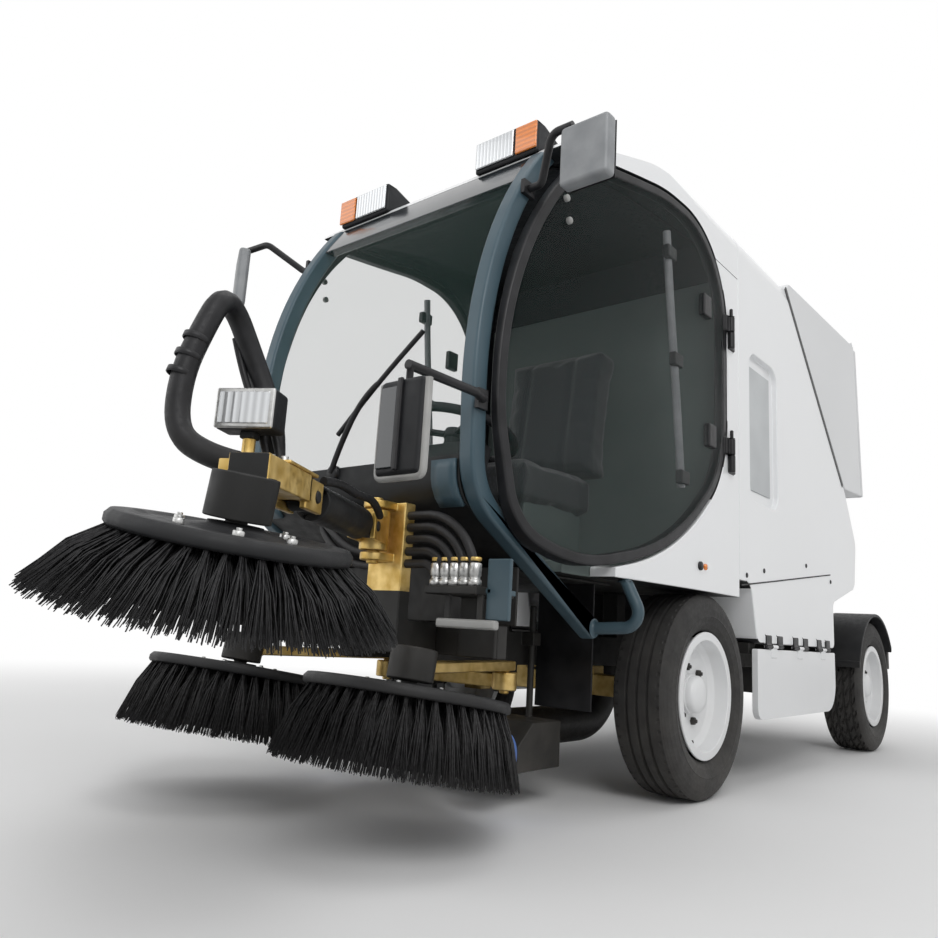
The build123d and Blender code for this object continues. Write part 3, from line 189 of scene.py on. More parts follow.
def spread(tree, value, low, high):
    """Maps a noise value to a range."""
    node = tree.nodes.new("ShaderNodeMapRange")
    node.inputs["From Min"].default_value = 0.3
    node.inputs["From Max"].default_value = 0.7
    node.inputs["To Min"].default_value = low
    node.inputs["To Max"].default_value = high
    tree.links.new(value, node.inputs["Value"])
    return node.outputs["Result"]


def bump(tree, main, value, strength, distance=0.001):
    """Bump from a height value into the shader's normal."""
    node = tree.nodes.new("ShaderNodeBump")
    node.inputs["Strength"].default_value = strength
    node.inputs["Distance"].default_value = distance
    tree.links.new(value, node.inputs["Height"])
    tree.links.new(node.outputs["Normal"], main.inputs["Normal"])


def dusted(tree, color, amount):
    """Mixes road dust into a colour, more of it lower down."""
    place = tree.nodes.new("ShaderNodeTexCoord").outputs["Object"]
    split = tree.nodes.new("ShaderNodeSeparateXYZ")
    tree.links.new(place, split.inputs["Vector"])
    height = tree.nodes.new("ShaderNodeMapRange")
    height.inputs["From Min"].default_value = DUST_TOP
    height.inputs["From Max"].default_value = DUST_FULL
    height.inputs["To Max"].default_value = amount
    tree.links.new(split.outputs["Z"], height.inputs["Value"])
    patch = tree.nodes.new("ShaderNodeMath")
    patch.operation = "MULTIPLY"
    tree.links.new(height.outputs["Result"], patch.inputs[0])
    tree.links.new(noise(tree, 9.0, 6.0), patch.inputs[1])
    mix = tree.nodes.new("ShaderNodeMix")
    mix.data_type = "RGBA"
    mix.inputs["B"].default_value = DUST
    tree.links.new(patch.outputs["Value"], mix.inputs["Factor"])
    tree.links.new(color, mix.inputs["A"])
    return mix.outputs["Result"]


def surface(name, colors, patch, roughness, grain=900.0, bumpy=0.05, metallic=0.0, coat=0.0, dust=0.0,
            shine=0.5):
    """Painted, moulded or plated surface: colour patches, uneven gloss, fine grain and dust low down."""
    material, tree, main = shader(name)
    low, high = colors
    color = ramp(tree, noise(tree, patch, 6.0), [(0.35, low), (0.65, high)])
    if dust:
        color = dusted(tree, color, dust)
    tree.links.new(color, main.inputs["Base Color"])
    tree.links.new(spread(tree, noise(tree, patch * 4), *roughness), main.inputs["Roughness"])
    main.inputs["Metallic"].default_value = metallic
    main.inputs["Specular IOR Level"].default_value = shine
    main.inputs["Coat Weight"].default_value = coat
    main.inputs["Coat Roughness"].default_value = 0.12
    if bumpy:
        bump(tree, main, noise(tree, grain, 2.0), bumpy)
    return material


def glass(name, color, alpha):
    """Tinted pane: see-through, with gloss and faint wiping marks."""
    material, tree, main = shader(name)
    main.inputs["Base Color"].default_value = (*color, 1.0)
    main.inputs["Alpha"].default_value = alpha
    main.inputs["IOR"].default_value = 1.5
    main.inputs["Specular IOR Level"].default_value = 0.35
    tree.links.new(spread(tree, noise(tree, 5.0), 0.02, 0.04), main.inputs["Roughness"])
    return material


def ribbed(name, color, scale, metallic, roughness, axis):
    """Lamp lens with moulded ribs along one axis."""
    material, tree, main = shader(name)
    place = tree.nodes.new("ShaderNodeTexCoord").outputs["Object"]
    wave = tree.nodes.new("ShaderNodeTexWave")
    wave.bands_direction = axis
    wave.inputs["Scale"].default_value = scale
    tree.links.new(place, wave.inputs["Vector"])
    shades = [(0.0, tuple(0.72 * part for part in color)), (1.0, color)]
    tree.links.new(ramp(tree, wave.outputs["Fac"], shades), main.inputs["Base Color"])
    main.inputs["Metallic"].default_value = metallic
    main.inputs["Roughness"].default_value = roughness
    main.inputs["Coat Weight"].default_value = 1.0
    bump(tree, main, wave.outputs["Fac"], 0.5, 0.002)
    return material


def fabric(name, colors):
    """Woven seat cloth."""
    material, tree, main = shader(name)
    across = noise(tree, 900.0, 1.0, (1.0, 0.12, 0.12))
    along = noise(tree, 900.0, 1.0, (0.12, 1.0, 0.12))
    weave = tree.nodes.new("ShaderNodeMath")
    weave.operation = "MAXIMUM"
    tree.links.new(across, weave.inputs[0])
    tree.links.new(along, weave.inputs[1])
    color = ramp(tree, weave.outputs["Value"], [(0.4, colors[0]), (0.7, colors[1])])
    tree.links.new(color, main.inputs["Base Color"])
    main.inputs["Roughness"].default_value = 0.9
    main.inputs["Sheen Weight"].default_value = 0.4
    bump(tree, main, weave.outputs["Value"], 0.5)
    return material


def make_materials():
    """Every finish in the scene, by name."""
    white = ((0.82, 0.83, 0.84), (0.84, 0.85, 0.86))
    steel = ((0.042, 0.078, 0.100), (0.056, 0.096, 0.120))
    return {
        "white": surface("white_paint", white, 1.2, (0.275, 0.290), bumpy=0.0, coat=0.3, dust=0.06),
        # The hopper's white is set a shade darker than the other white panels: painted shade on the hopper's
        # sides.
        "hopper": surface("hopper_shaded_white", ((0.66, 0.67, 0.68), (0.69, 0.70, 0.71)), 1.2, (0.28, 0.34),
                          bumpy=0.004, coat=0.2),
        "rim": surface("rim_paint", white, 9.0, (0.28, 0.36), bumpy=0.03, coat=0.2, dust=0.3),
        "blue": surface("blue_steel_paint", steel, 6.0, (0.34, 0.46), bumpy=0.04, dust=0.1, shine=0.4),
        "black": surface("black_steel_paint", ((0.006, 0.007, 0.008), (0.014, 0.015, 0.016)), 8.0, (0.4, 0.6),
                         bumpy=0.08, dust=0.25, shine=0.25),
        "zinc": surface("yellow_zinc", ((0.52, 0.33, 0.07), (0.80, 0.58, 0.22)), 26.0, (0.28, 0.5),
                        grain=1400.0, bumpy=0.08, metallic=0.75, dust=0.4),
        "silver": surface("bright_zinc", ((0.42, 0.42, 0.41), (0.66, 0.66, 0.65)), 40.0, (0.25, 0.45),
                          metallic=0.9),
        "cast": surface("cast_iron", ((0.04, 0.04, 0.045), (0.08, 0.08, 0.085)), 20.0, (0.6, 0.8), bumpy=0.3),
        "chrome": surface("polished_rod", ((0.66, 0.67, 0.68), (0.74, 0.75, 0.76)), 30.0, (0.06, 0.14),
                          bumpy=0.01, metallic=1.0),
        "plastic": surface("black_moulding", ((0.009, 0.010, 0.012), (0.017, 0.018, 0.020)), 12.0,
                           (0.42, 0.6), grain=1600.0, bumpy=0.25, dust=0.1, shine=0.25),
        "seal": surface("rubber_seal", ((0.009, 0.009, 0.010), (0.018, 0.018, 0.020)), 18.0, (0.32, 0.48),
                        bumpy=0.1, shine=0.3),
        "grey": surface("grey_moulding", ((0.20, 0.21, 0.22), (0.27, 0.28, 0.29)), 14.0, (0.35, 0.5),
                        grain=1500.0, bumpy=0.15),
        "liner": surface("cab_liner", ((0.118, 0.148, 0.141), (0.132, 0.162, 0.154)), 8.0, (0.6, 0.8),
                         grain=1200.0, bumpy=0.3),
        "header": surface("header_film", ((0.010, 0.014, 0.018), (0.016, 0.021, 0.026)), 5.0, (0.12, 0.22),
                          bumpy=0.02, coat=0.5),
        "blue_roller": surface("blue_roller", ((0.02, 0.10, 0.42), (0.04, 0.18, 0.60)), 20.0, (0.4, 0.6),
                               dust=0.5),
        "hose": surface("hose_rubber", ((0.007, 0.007, 0.008), (0.015, 0.015, 0.017)), 30.0, (0.4, 0.6),
                        grain=700.0, bumpy=0.3, dust=0.15, shine=0.3),
        "tyre": surface("tyre_rubber", ((0.012, 0.012, 0.013), (0.024, 0.024, 0.024)), 22.0, (0.6, 0.8),
                        bumpy=0.25, dust=0.16, shine=0.35),
        "bristle": surface("bristles", ((0.004, 0.004, 0.005), (0.028, 0.028, 0.030)), 130.0, (0.45, 0.65),
                           bumpy=0.1, dust=0.05, shine=0.3),
        "headliner": surface("headliner", ((0.016, 0.018, 0.020), (0.030, 0.033, 0.036)), 60.0, (0.8, 0.9),
                             bumpy=0.3, shine=0.1),
        "edge": surface("edge_trim", ((0.30, 0.30, 0.29), (0.38, 0.38, 0.37)), 12.0, (0.3, 0.42), bumpy=0.05),
        "seam": surface("panel_seam", ((0.05, 0.05, 0.05), (0.10, 0.10, 0.10)), 30.0, (0.6, 0.8), shine=0.1),
        # Grey for the pane at the bottom of each side recess: painted shade of the pocket.
        "recess": surface("recess_painted_shade", ((0.44, 0.46, 0.47), (0.52, 0.54, 0.55)), 6.0, (0.3, 0.4),
                          bumpy=0.02),
        "door_glass": glass("door_glass", (0.004, 0.016, 0.013), 0.15),
        "screen_glass": glass("screen_glass", (0.10, 0.20, 0.17), 0.05),
        "mirror": surface("mirror_glass", ((0.70, 0.72, 0.73), (0.74, 0.76, 0.77)), 10.0, (0.02, 0.04),
                          bumpy=0.0, metallic=1.0),
        "lens": ribbed("lamp_lens", (0.72, 0.74, 0.76), 24.0, 0.55, 0.12, "Y"),
        "amber": ribbed("amber_lens", (0.90, 0.24, 0.01), 22.0, 0.0, 0.18, "Z"),
        "red": ribbed("red_lens", (0.45, 0.010, 0.010), 22.0, 0.0, 0.2, "Z"),
        "cloth": fabric("seat_cloth", ((0.012, 0.014, 0.016), (0.045, 0.050, 0.056))),
    }


MATERIALS = make_materials()


# Mesh helpers


def add_object(name, mesh, material, body, smooth=True):
    """Links a mesh as a piece that rides on a body."""
    piece = bpy.data.objects.new(name, mesh)
    bpy.context.collection.objects.link(piece)
    mesh.materials.clear()
    mesh.materials.append(MATERIALS[material])
    if smooth:
        mesh.polygons.foreach_set("use_smooth", [True] * len(mesh.polygons))
    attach(piece, body)
    return piece


def from_arrays(name, points, faces, material, body, smooth=True):
    """Piece from lists of points and faces."""
    mesh = bpy.data.meshes.new(name)
    mesh.from_pydata([tuple(point) for point in points], [], [tuple(face) for face in faces])
    mesh.update()
    return add_object(name, mesh, material, body, smooth)


def soften(piece, width):
    """Rounds the sharp edges of a piece and evens its shading, or only marks them where the width is 0."""
    if not width:
        piece.data.set_sharp_from_angle(angle=SHARP)
        return
    edge = piece.modifiers.new("Round", "BEVEL")
    edge.width = width
    edge.segments = ROUND_STEPS
    edge.limit_method = "ANGLE"
    edge.angle_limit = SHARP
    edge.use_clamp_overlap = False
    edge.miter_outer = "MITER_ARC"
    piece.modifiers.new("Shade", "WEIGHTED_NORMAL")


def body_of(node):
    """Name of the body that carries a node."""
    return next(body for body, nodes in frame["record"]["behaviour"]["bodies"].items() if node in nodes)


def rounded(node, material, width, second=None, where=None, split=None):
    """Copy of a CAD node with its sharp edges rounded, which stands for the node.

    Faces that the test picks get the second finish; the form may be cut across at a height first.
    """
    form = bmesh.new()
    form.from_mesh(NODES[node].data)
    bmesh.ops.remove_doubles(form, verts=form.verts, dist=2e-5)
    bmesh.ops.dissolve_limit(form, angle_limit=math.radians(0.6), verts=form.verts, edges=form.edges)
    if split:
        whole = [*form.verts, *form.edges, *form.faces]
        bmesh.ops.bisect_plane(form, geom=whole, plane_co=(0, 0, split), plane_no=(0, 0, 1))
    form.normal_update()
    picked = [int(bool(second) and where(face.calc_center_median(), face.normal)) for face in form.faces]
    mesh = bpy.data.meshes.new(node + "_form")
    form.to_mesh(mesh)
    form.free()
    piece = add_object(node + "_form", mesh, material, body_of(node))
    if second:
        mesh.materials.append(MATERIALS[second])
        mesh.polygons.foreach_set("material_index", picked)
    soften(piece, width)
    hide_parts(node)


def dress(node, material):
    """Gives a kept CAD node its finish."""
    mesh = NODES[node].data
    mesh.materials.clear()
    mesh.materials.append(MATERIALS[material])


def block(name, low, high, material, body, width):
    """Rectangular piece with rounded edges, between two corners."""
    low, high = Vector(low), Vector(high)
    form = bmesh.new()
    place = Matrix.Translation((low + high) / 2) @ Matrix.Diagonal((*(high - low), 1.0))
    bmesh.ops.create_cube(form, size=1.0, matrix=place)
    mesh = bpy.data.meshes.new(name)
    form.to_mesh(mesh)
    form.free()
    soften(add_object(name, mesh, material, body), width)


def lathe(name, section, place, material, body, segments):
    """Turned piece: a section of radius and height, turned about the Z axis of a placing matrix."""
    points = []
    faces = []
    count = len(section)
    for i in range(segments):
        angle = 2 * math.pi * i / segments
        for radius, height in section:
            points.append(place @ Vector((radius * math.cos(angle), radius * math.sin(angle), height)))
        for j in range(count - 1):
            a = i * count + j
            b = (i + 1) % segments * count + j
            faces.append((a, b, b + 1, a + 1))
    return from_arrays(name, points, faces, material, body)


def hose(name, route, radius, material, body):
    """Smooth round hose or rod along a route of points."""
    curve = bpy.data.curves.new(name, "CURVE")
    curve.dimensions = "3D"
    curve.bevel_depth = radius
    curve.bevel_resolution = 4
    curve.use_fill_caps = True
    line = curve.splines.new("NURBS")
    line.points.add(len(route) - 1)
    for point, place in zip(line.points, route):
        point.co = (*place, 1.0)
    line.order_u = 3
    line.use_endpoint_u = True
    line.resolution_u = 8
    piece = bpy.data.objects.new(name, curve)
    bpy.context.collection.objects.link(piece)
    curve.materials.append(MATERIALS[material])
    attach(piece, body)
    return piece


def aimed(place, direction):
    """Placing matrix with its Z axis along a direction."""
    return Matrix.Translation(place) @ Vector(direction).to_track_quat("Z", "Y").to_matrix().to_4x4()


def nut(name, place, direction, radius, height, material, body):
    """Hexagonal nut with a chamfer and a stud end in it."""
    section = [(radius, 0.0), (radius, height * 0.8), (radius * 0.86, height), (radius * 0.5, height),
               (radius * 0.5, height * 1.5), (0.0, height * 1.55)]
    return lathe(name, section, aimed(place, direction), material, body, 6)


def joined(name, pieces, body):
    """Joins several meshes into one piece on a body."""
    bpy.ops.object.select_all(action="DESELECT")
    for piece in pieces:
        piece.select_set(True)
    bpy.context.view_layer.objects.active = pieces[0]
    bpy.ops.object.convert(target="MESH")
    bpy.ops.object.join()
    whole = bpy.context.view_layer.objects.active
    whole.name = name
    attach(whole, body)


def skin(node):
    """Search tree over a node's faces."""
    mesh = NODES[node].data
    points = [vert.co for vert in mesh.vertices]
    return BVHTree.FromPolygons(points, [face.vertices for face in mesh.polygons])


def on_front(tree, y, z, lift):
    """Point a little proud of a node's front, at millimetres from the middle and from the ground."""
    spot = tree.ray_cast(Vector((RAY_AHEAD, y / 1000, z / 1000)), Vector((-1, 0, 0)))[0]
    return spot + Vector((lift, 0, 0))


def on_side(tree, x, z, side, lift):
    """Point a little proud of a node's outer side, at millimetres about the front axle."""
    start = at(x, side * RAY_OUT, z)
    spot = tree.ray_cast(start, Vector((0, -side, 0)))[0]
    return spot + Vector((0, side * lift, 0))


def disc(name, place, direction, radius, height, material, body):
    """Low round button with a domed face."""
    section = [(radius, -height), (radius, height * 0.5), (radius * 0.8, height * 0.9), (0.0, height)]
    lathe(name, section, aimed(place, direction), material, body, 20)


def thicken(piece, thickness, offset=0.0):
    """Gives a sheet of faces a thickness, about the sheet or to one side of it."""
    thick = piece.modifiers.new("Thick", "SOLIDIFY")
    thick.thickness = thickness
    thick.offset = offset


def strip(name, route, width, material, body, out):
    """Flat strip along a route of points, standing on edge to a given outward direction."""
    out = Vector(out)
    points = []
    for i, spot in enumerate(route):
        ahead = route[min(i + 1, len(route) - 1)] - route[max(i - 1, 0)]
        side = ahead.normalized().cross(out) * width / 2
        points += [spot + side, spot - side]
    faces = [(2 * i, 2 * i + 1, 2 * i + 3, 2 * i + 2) for i in range(len(route) - 1)]
    thicken(from_arrays(name, points, faces, material, body, smooth=False), 0.003)


# Wheels


def tyre_section():
    """Half section of a tyre from bead to tread edge: radius and distance from the middle."""
    return [(0.1995, 0.070), (0.206, 0.0765), (0.222, 0.0865), (0.244, 0.0920), (0.246, 0.0932),
            (0.250, 0.0922), (0.270, 0.0915), (0.288, 0.0880), (0.301, 0.0830), (0.3095, 0.0775),
            (0.3145, TREAD_HALF)]


def tread_lift(offset, step, blocks):
    """Radius of the tread at a distance from its middle, for one of the steps round the wheel."""
    camber = TYRE_R - TREAD_CROWN * (offset / TREAD_HALF) ** 2
    grooves = (0.017, 0.050) if blocks else (0.0, 0.034)
    if any(abs(abs(offset) - groove) < GROOVE_HALF for groove in grooves):
        return camber - GROOVE_DEPTH
    row = int((offset + TREAD_HALF) / BLOCK_ROW)
    phase = (step + 3 * row + int(offset * 260)) % 8
    if blocks and phase < 2:
        return camber - GROOVE_DEPTH
    if not blocks and abs(offset) > SHOULDER and step % 4 == 0:
        return camber - SIPE_DEPTH
    return camber


def tyre(corner, side, blocks):
    """Tyre with side wall mouldings and its tread, in place of the plain CAD ring."""
    centre = joint_at("spin_" + corner)
    half = tyre_section()
    across = [TREAD_HALF - 2 * TREAD_HALF * i / TREAD_CELLS for i in range(TREAD_CELLS + 1)]
    points = []
    for step in range(TYRE_STEPS):
        angle = 2 * math.pi * step / TYRE_STEPS
        ring = list(half)
        ring += [(tread_lift(offset, step, blocks), offset) for offset in across]
        ring += [(radius, -offset) for radius, offset in reversed(half)]
        for radius, offset in ring:
            x = centre.x + radius * math.sin(angle)
            z = centre.z + radius * math.cos(angle)
            points.append((x, centre.y + side * offset, z))
    count = len(points) // TYRE_STEPS
    faces = []
    for step in range(TYRE_STEPS):
        for j in range(count - 1):
            a = step * count + j
            b = (step + 1) % TYRE_STEPS * count + j
            quad = (a, a + 1, b + 1, b)
            faces.append(quad if side > 0 else quad[::-1])
    piece = from_arrays("tyre_" + corner + "_tread", points, faces, "tyre", "wheel_" + corner, smooth=False)
    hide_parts("tyre_" + corner)


def wheel_fittings(corner, side):
    """Wheel nuts, hub cap and valve."""
    centre = joint_at("spin_" + corner)
    out = Vector((0, side, 0))
    body = "wheel_" + corner
    pieces = []
    for i in range(WHEEL_NUTS):
        angle = math.radians(360 / WHEEL_NUTS * i + 15)
        around = (NUT_CIRCLE * math.cos(angle), side * 0.020, NUT_CIRCLE * math.sin(angle))
        spot = centre + Vector(around)
        pieces.append(nut("nut", spot, out, 0.013, 0.012, "black", body))
    section = [(0.058, 0.0), (0.058, 0.018), (0.050, 0.027), (0.030, 0.031), (0.0, 0.032)]
    cap = lathe("cap", section, aimed(centre + out * 0.0335, out), "rim", body, 32)
    stem = aimed(centre + Vector((0.05, side * 0.030, -0.148)), (0.1, side, 0.3))
    valve = lathe("valve", [(0.005, 0.0), (0.005, 0.030), (0.0, 0.032)], stem, "black", body, 10)
    joined("wheel_fittings_" + corner, [*pieces, cap, valve], body)


def wheels():
    """All four wheels."""
    for end, blocks in (("front", False), ("rear", True)):
        for name, side in SIDES:
            corner = end + "_" + name
            tyre(corner, side, blocks)
            wheel_fittings(corner, side)
            rounded("rim_" + corner, "rim", 0.003)


# Brushes


def bristles(name, body, place, root_r, tip_r, height, seed):
    """Bristle strands in rings of tufts, from the plate's underside out to the tips."""
    chance = random.Random(seed)
    points = []
    faces = []
    for ring, (root_in, tip_in) in enumerate(RINGS):
        for tuft in range(TUFTS):
            middle = 2 * math.pi * (tuft + ring / len(RINGS)) / TUFTS
            lean = chance.uniform(-0.03, 0.03)
            for _ in range(STRANDS):
                start_a = middle + chance.gauss(0, 0.012)
                end_a = middle + lean + chance.gauss(0, 0.045)
                start_r = root_r - root_in + chance.uniform(-0.009, 0.009)
                end_r = tip_r - tip_in - abs(chance.gauss(0, 0.010))
                end_z = abs(chance.gauss(0, 0.009))
                start = Vector((start_r * math.cos(start_a), start_r * math.sin(start_a), height + 0.004))
                end = Vector((end_r * math.cos(end_a), end_r * math.sin(end_a), end_z))
                bow = (start + end) / 2 + Vector((0, 0, 0.10 * height))
                bow += Vector((math.cos(end_a), math.sin(end_a), 0)) * 0.03 * (tip_r - root_r)
                add_strand(points, faces, place, (start, bow, end), chance.uniform(0.0013, 0.0019))
    return from_arrays(name, points, faces, "bristle", body)


def add_strand(points, faces, place, line, thickness):
    """Adds one thin three-sided strand along a line of points."""
    first = len(points)
    run = (line[-1] - line[0]).normalized()
    side = run.orthogonal().normalized()
    other = run.cross(side)
    for i, spot in enumerate(line):
        size = thickness * (1.0 if i < len(line) - 1 else 0.6)
        for k in range(3):
            angle = 2 * math.pi * k / 3
            points.append(place @ (spot + (side * math.cos(angle) + other * math.sin(angle)) * size))
    for i in range(len(line) - 1):
        for k in range(3):
            a = first + 3 * i + k
            b = first + 3 * i + (k + 1) % 3
            faces.append((a, b, b + 3, a + 3))
    last = first + 3 * (len(line) - 1)
    faces.append((last, last + 1, last + 2))


def brush(name, joint, sizes, seed):
    """Brush with plate, hub, bolts and bristles in place of the plain cup; node and body share its name."""
    root_r, tip_r, height = sizes
    place = aimed(joint_at(joint), JOINTS[joint]["axis"])
    face = height + 0.0215
    section = [(0.046, height - 0.018), (root_r - 0.10, height), (root_r + 0.001, height),
               (root_r + 0.005, height + 0.005), (root_r + 0.005, height + 0.016),
               (root_r - 0.002, height + 0.0245), (root_r - 0.03, height + 0.0250), (root_r - 0.04, face),
               (0.085, face), (0.078, height + 0.025), (0.046, height + 0.030), (0.0452, height + 0.034),
               (0.020, height + 0.035)]
    lathe(name + "_plate", section, place, "plastic", name, 96)
    pieces = []
    up = place.to_3x3() @ Vector((0, 0, 1))
    for i in range(BRUSH_BOLTS):
        turn = Matrix.Rotation(math.radians(360 / BRUSH_BOLTS * i), 4, "Z")
        spot = place @ turn @ Vector((BOLT_CIRCLE, 0, face))
        pieces.append(nut("bolt", spot, up, 0.010, 0.008, "silver", name))
    joined(name + "_bolts", pieces, name)
    core = [(root_r - 0.10, height), (root_r - 0.055, height - 0.002), (tip_r - 0.090, 0.020),
            (tip_r - 0.130, 0.016), (root_r - 0.12, height - 0.010)]
    lathe(name + "_core", core, place, "bristle", name, 64)
    strands = bristles(name + "_bristles", name, place, root_r, tip_r, height, seed)
    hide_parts(name)


def brushes():
    """Two side brushes and the front brush."""
    for seed, (name, _) in enumerate(SIDES):
        brush("side_brush_" + name, "brush_spin_" + name, SIDE_BRUSH, seed)
    brush("front_brush", "front_brush_spin", FRONT_BRUSH, FRONT_BRUSH_SEED)


# Cab


def pad(node, normal):
    """Seat pad: a smaller form swollen by a short cloth run, with two sewn channels in its face."""
    low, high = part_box(node)
    form = bmesh.new()
    form.from_mesh(NODES[node].data)
    bmesh.ops.remove_doubles(form, verts=form.verts, dist=1e-5)
    centre = (low + high) / 2
    for vert in form.verts:
        vert.co = centre + (vert.co - centre) * PAD_SHARE
    mesh = bpy.data.meshes.new(node + "_pad")
    form.to_mesh(mesh)
    form.free()
    piece = add_object(node + "_pad", mesh, "cloth", body_of(node))
    remesh = piece.modifiers.new("Remesh", "REMESH")
    remesh.mode = "VOXEL"
    remesh.voxel_size = PAD_VOXEL
    bpy.context.view_layer.objects.active = piece
    bpy.ops.object.modifier_apply(modifier=remesh.name)
    swell(piece, PAD_SWELL)
    for vert in piece.data.vertices:
        depth = math.exp(-((abs(vert.co.y) - CHANNEL_Y) / CHANNEL_HALF) ** 2)
        if (vert.co - centre).dot(normal) > 0.01:
            vert.co -= normal * CHANNEL_DEPTH * depth
    smooth = piece.modifiers.new("Smooth", "SUBSURF")
    smooth.levels = 1
    smooth.render_levels = 1
    piece.data.polygons.foreach_set("use_smooth", [True] * len(piece.data.polygons))
    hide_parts(node)


def swell(piece, cap):
    """Blows a pad up a little with cloth pressure, and keeps each point within the cap."""
    start = np.array([vert.co for vert in piece.data.vertices])
    cloth = piece.modifiers.new("Cloth", "CLOTH")
    cloth.settings.use_pressure = True
    cloth.settings.uniform_pressure_force = CLOTH_PRESSURE
    cloth.settings.effector_weights.gravity = 0.0
    scene = bpy.context.scene
    for step in range(CLOTH_STEPS):
        scene.frame_set(step + 1)
    shaped = piece.evaluated_get(bpy.context.evaluated_depsgraph_get())
    moved = np.array([vert.co for vert in shaped.data.vertices]) - start
    piece.modifiers.remove(cloth)
    length = np.maximum(np.linalg.norm(moved, axis=1, keepdims=True), 1e-9)
    moved *= np.minimum(1.0, cap / length)
    piece.data.vertices.foreach_set("co", (start + moved).ravel())
    scene.frame_set(1)


def cab():
    """Cab shell, doors, glass and seat."""
    for node, material, width in (
        ("cab_frame", "blue", 0.010), ("front_panel", "black", 0.004),
        ("header_panel", "header", 0.003), ("dashboard", "plastic", 0.004), ("mirror_arms", "seal", 0.0),
        ("door_frame_left", "seal", 0.006), ("door_frame_right", "seal", 0.006),
        ("roof_lamps", "plastic", 0.010), ("roof_lamp_lenses", "lens", 0.003),
        ("roof_indicators", "amber", 0.003),
    ):
        rounded(node, material, width)
    rounded("cab_roof", "white", 0.0, "headliner", inward)
    rounded("cab_sides", "white", 0.004, "seal", lambda spot, normal: inward(spot, normal) or outside(spot))
    rounded("cab_tub", "liner", 0.004, "black", lambda spot, normal: normal.z < -0.5)
    rounded("mirror_heads", "grey", 0.012, "plastic", lambda spot, normal: spot.x > AXLE_X + LOW_MIRROR_X)
    dress("windshield", "screen_glass")
    for name, _ in SIDES:
        dress("door_glass_" + name, "door_glass")
    pad("seat_cushion", Vector((0, 0, 1)))
    pad("seat_back", Vector((1, 0, 0.14)).normalized())
    roof_liner()
    windscreen_fittings()
    mirror_faces()
    for name, side in SIDES:
        door_fittings(name, side)


def inward(spot, normal):
    """True for a face that looks down or into the cab."""
    return normal.z < -0.4 or normal.y * spot.y < -0.1 * abs(spot.y) or (normal.x > 0.4 and spot.x < AXLE_X)


def outside(spot):
    """True for what stands proud of the body's sides, such as a hinge."""
    return abs(spot.y) > PROUD_Y


def roof_liner():
    """Dark cloth lining under the roof."""
    profile = [(-196, 1978), (120, 1946), (400, 1908), (600, 1856), (780, 1796)]
    points = []
    for x, z in profile:
        points += [at(x, -430, z), at(x, 430, z)]
    faces = [(2 * i, 2 * i + 1, 2 * i + 3, 2 * i + 2) for i in range(len(profile) - 1)]
    thicken(from_arrays("roof_liner", points, faces, "headliner", "chassis"), 0.008, -1.0)
    block("roof_liner_front", at(770, -395, 1760), at(782, 395, 1800), "headliner", "chassis", 0.003)


def windscreen_fittings():
    """Wiper with its arm, and the steel gussets at the foot of each pillar."""
    tree = skin("windshield")
    foot = skin("front_panel")
    blade = [on_front(tree, -40 + 74 * i, 985 + 62 * i, 0.010) for i in range(5)]
    hose("wiper_blade", blade, 0.007, "seal", "chassis")
    arm = [on_front(foot, -60, 880, 0.012), on_front(tree, -30, 930, 0.020),
           on_front(tree, 60, 1070, 0.022), blade[2]]
    hose("wiper_arm", arm, 0.008, "seal", "chassis")
    disc("wiper_pivot", on_front(foot, -60, 880, 0.004), (1, 0, 0), 0.022, 0.010, "seal", "chassis")
    for name, side in SIDES:
        rows = []
        for i in range(6):
            z = 772 + 22 * i
            rows.append([on_front(foot, side * y, z, 0.006) for y in (314, 340, 366, 392)])
        points = [spot for row in rows for spot in row]
        faces = []
        for i in range(len(rows) - 1):
            for j in range(3):
                a = 4 * i + j
                faces.append((a, a + 1, a + 5, a + 4))
        thicken(from_arrays("pillar_gusset_" + name, points, faces, "blue", "chassis"), 0.008)


def mirror_faces():
    """Glass of the two left mirrors, the upper one's bezel, and the low one's rim, back and spine."""
    block("mirror_glass_left", at(949, 608, 1585), at(953, 732, 1730), "mirror", "chassis", 0.001)
    block("mirror_glass_low", at(1332, 419, 790), at(1336, 533, 982), "mirror", "chassis", 0.001)
    rim = [at(1350, 411, 985), at(1350, 409, 800), at(1350, 412, 780), at(1350, 430, 778), at(1350, 522, 778),
           at(1350, 540, 780), at(1350, 543, 800), at(1350, 541, 985)]
    hose("mirror_rim_low", rim, 0.009, "edge", "chassis")
    block("mirror_back_low", at(1364, 419, 796), at(1368, 468, 974), "header", "chassis", 0.003)
    block("mirror_bezel_left", at(948, 603, 1578), at(951, 737, 1737), "seal", "chassis", 0.001)
    block("mirror_spine_low", at(1363, 470, 790), at(1372, 484, 990), "seal", "chassis", 0.003)


def door_fittings(name, side):
    """Inner tube with its clamps, hinge brackets and studs of one door."""
    body = "door_" + name
    tree = skin("door_glass_" + name)
    tube = [on_side(tree, x, z, side, -0.034) for x, z in ((262, 1800), (240, 1600), (190, 1280), (150, 960))]
    hose("door_tube_" + name, tube, 0.013, "grey", body)
    reach = Vector((0.030, 0.012, 0.022))
    for i, (x, z) in enumerate(((255, 1724), (205, 1370), (156, 991))):
        spot = on_side(tree, x, z, side, -0.026)
        block("door_clamp_%d_%s" % (i, name), spot - reach, spot + reach, "seal", body, 0.005)
    for i, (x, z) in enumerate(((40, 1610), (0, 1160))):
        spot = on_side(tree, x, z, side, -0.004)
        block("door_bracket_%d_%s" % (i, name), spot - Vector((0.030, 0.014, 0.040)),
              spot + Vector((0.030, 0.010, 0.040)), "seal", body, 0.006)
    for i, (x, z) in enumerate(((819, 1660), (805, 1598))):
        spot = on_side(tree, x, z, side, 0.0)
        disc("door_stud_%d_%s" % (i, name), spot, (0, side, 0), 0.010, 0.006, "edge", body)


# Engine housing, hopper and running gear


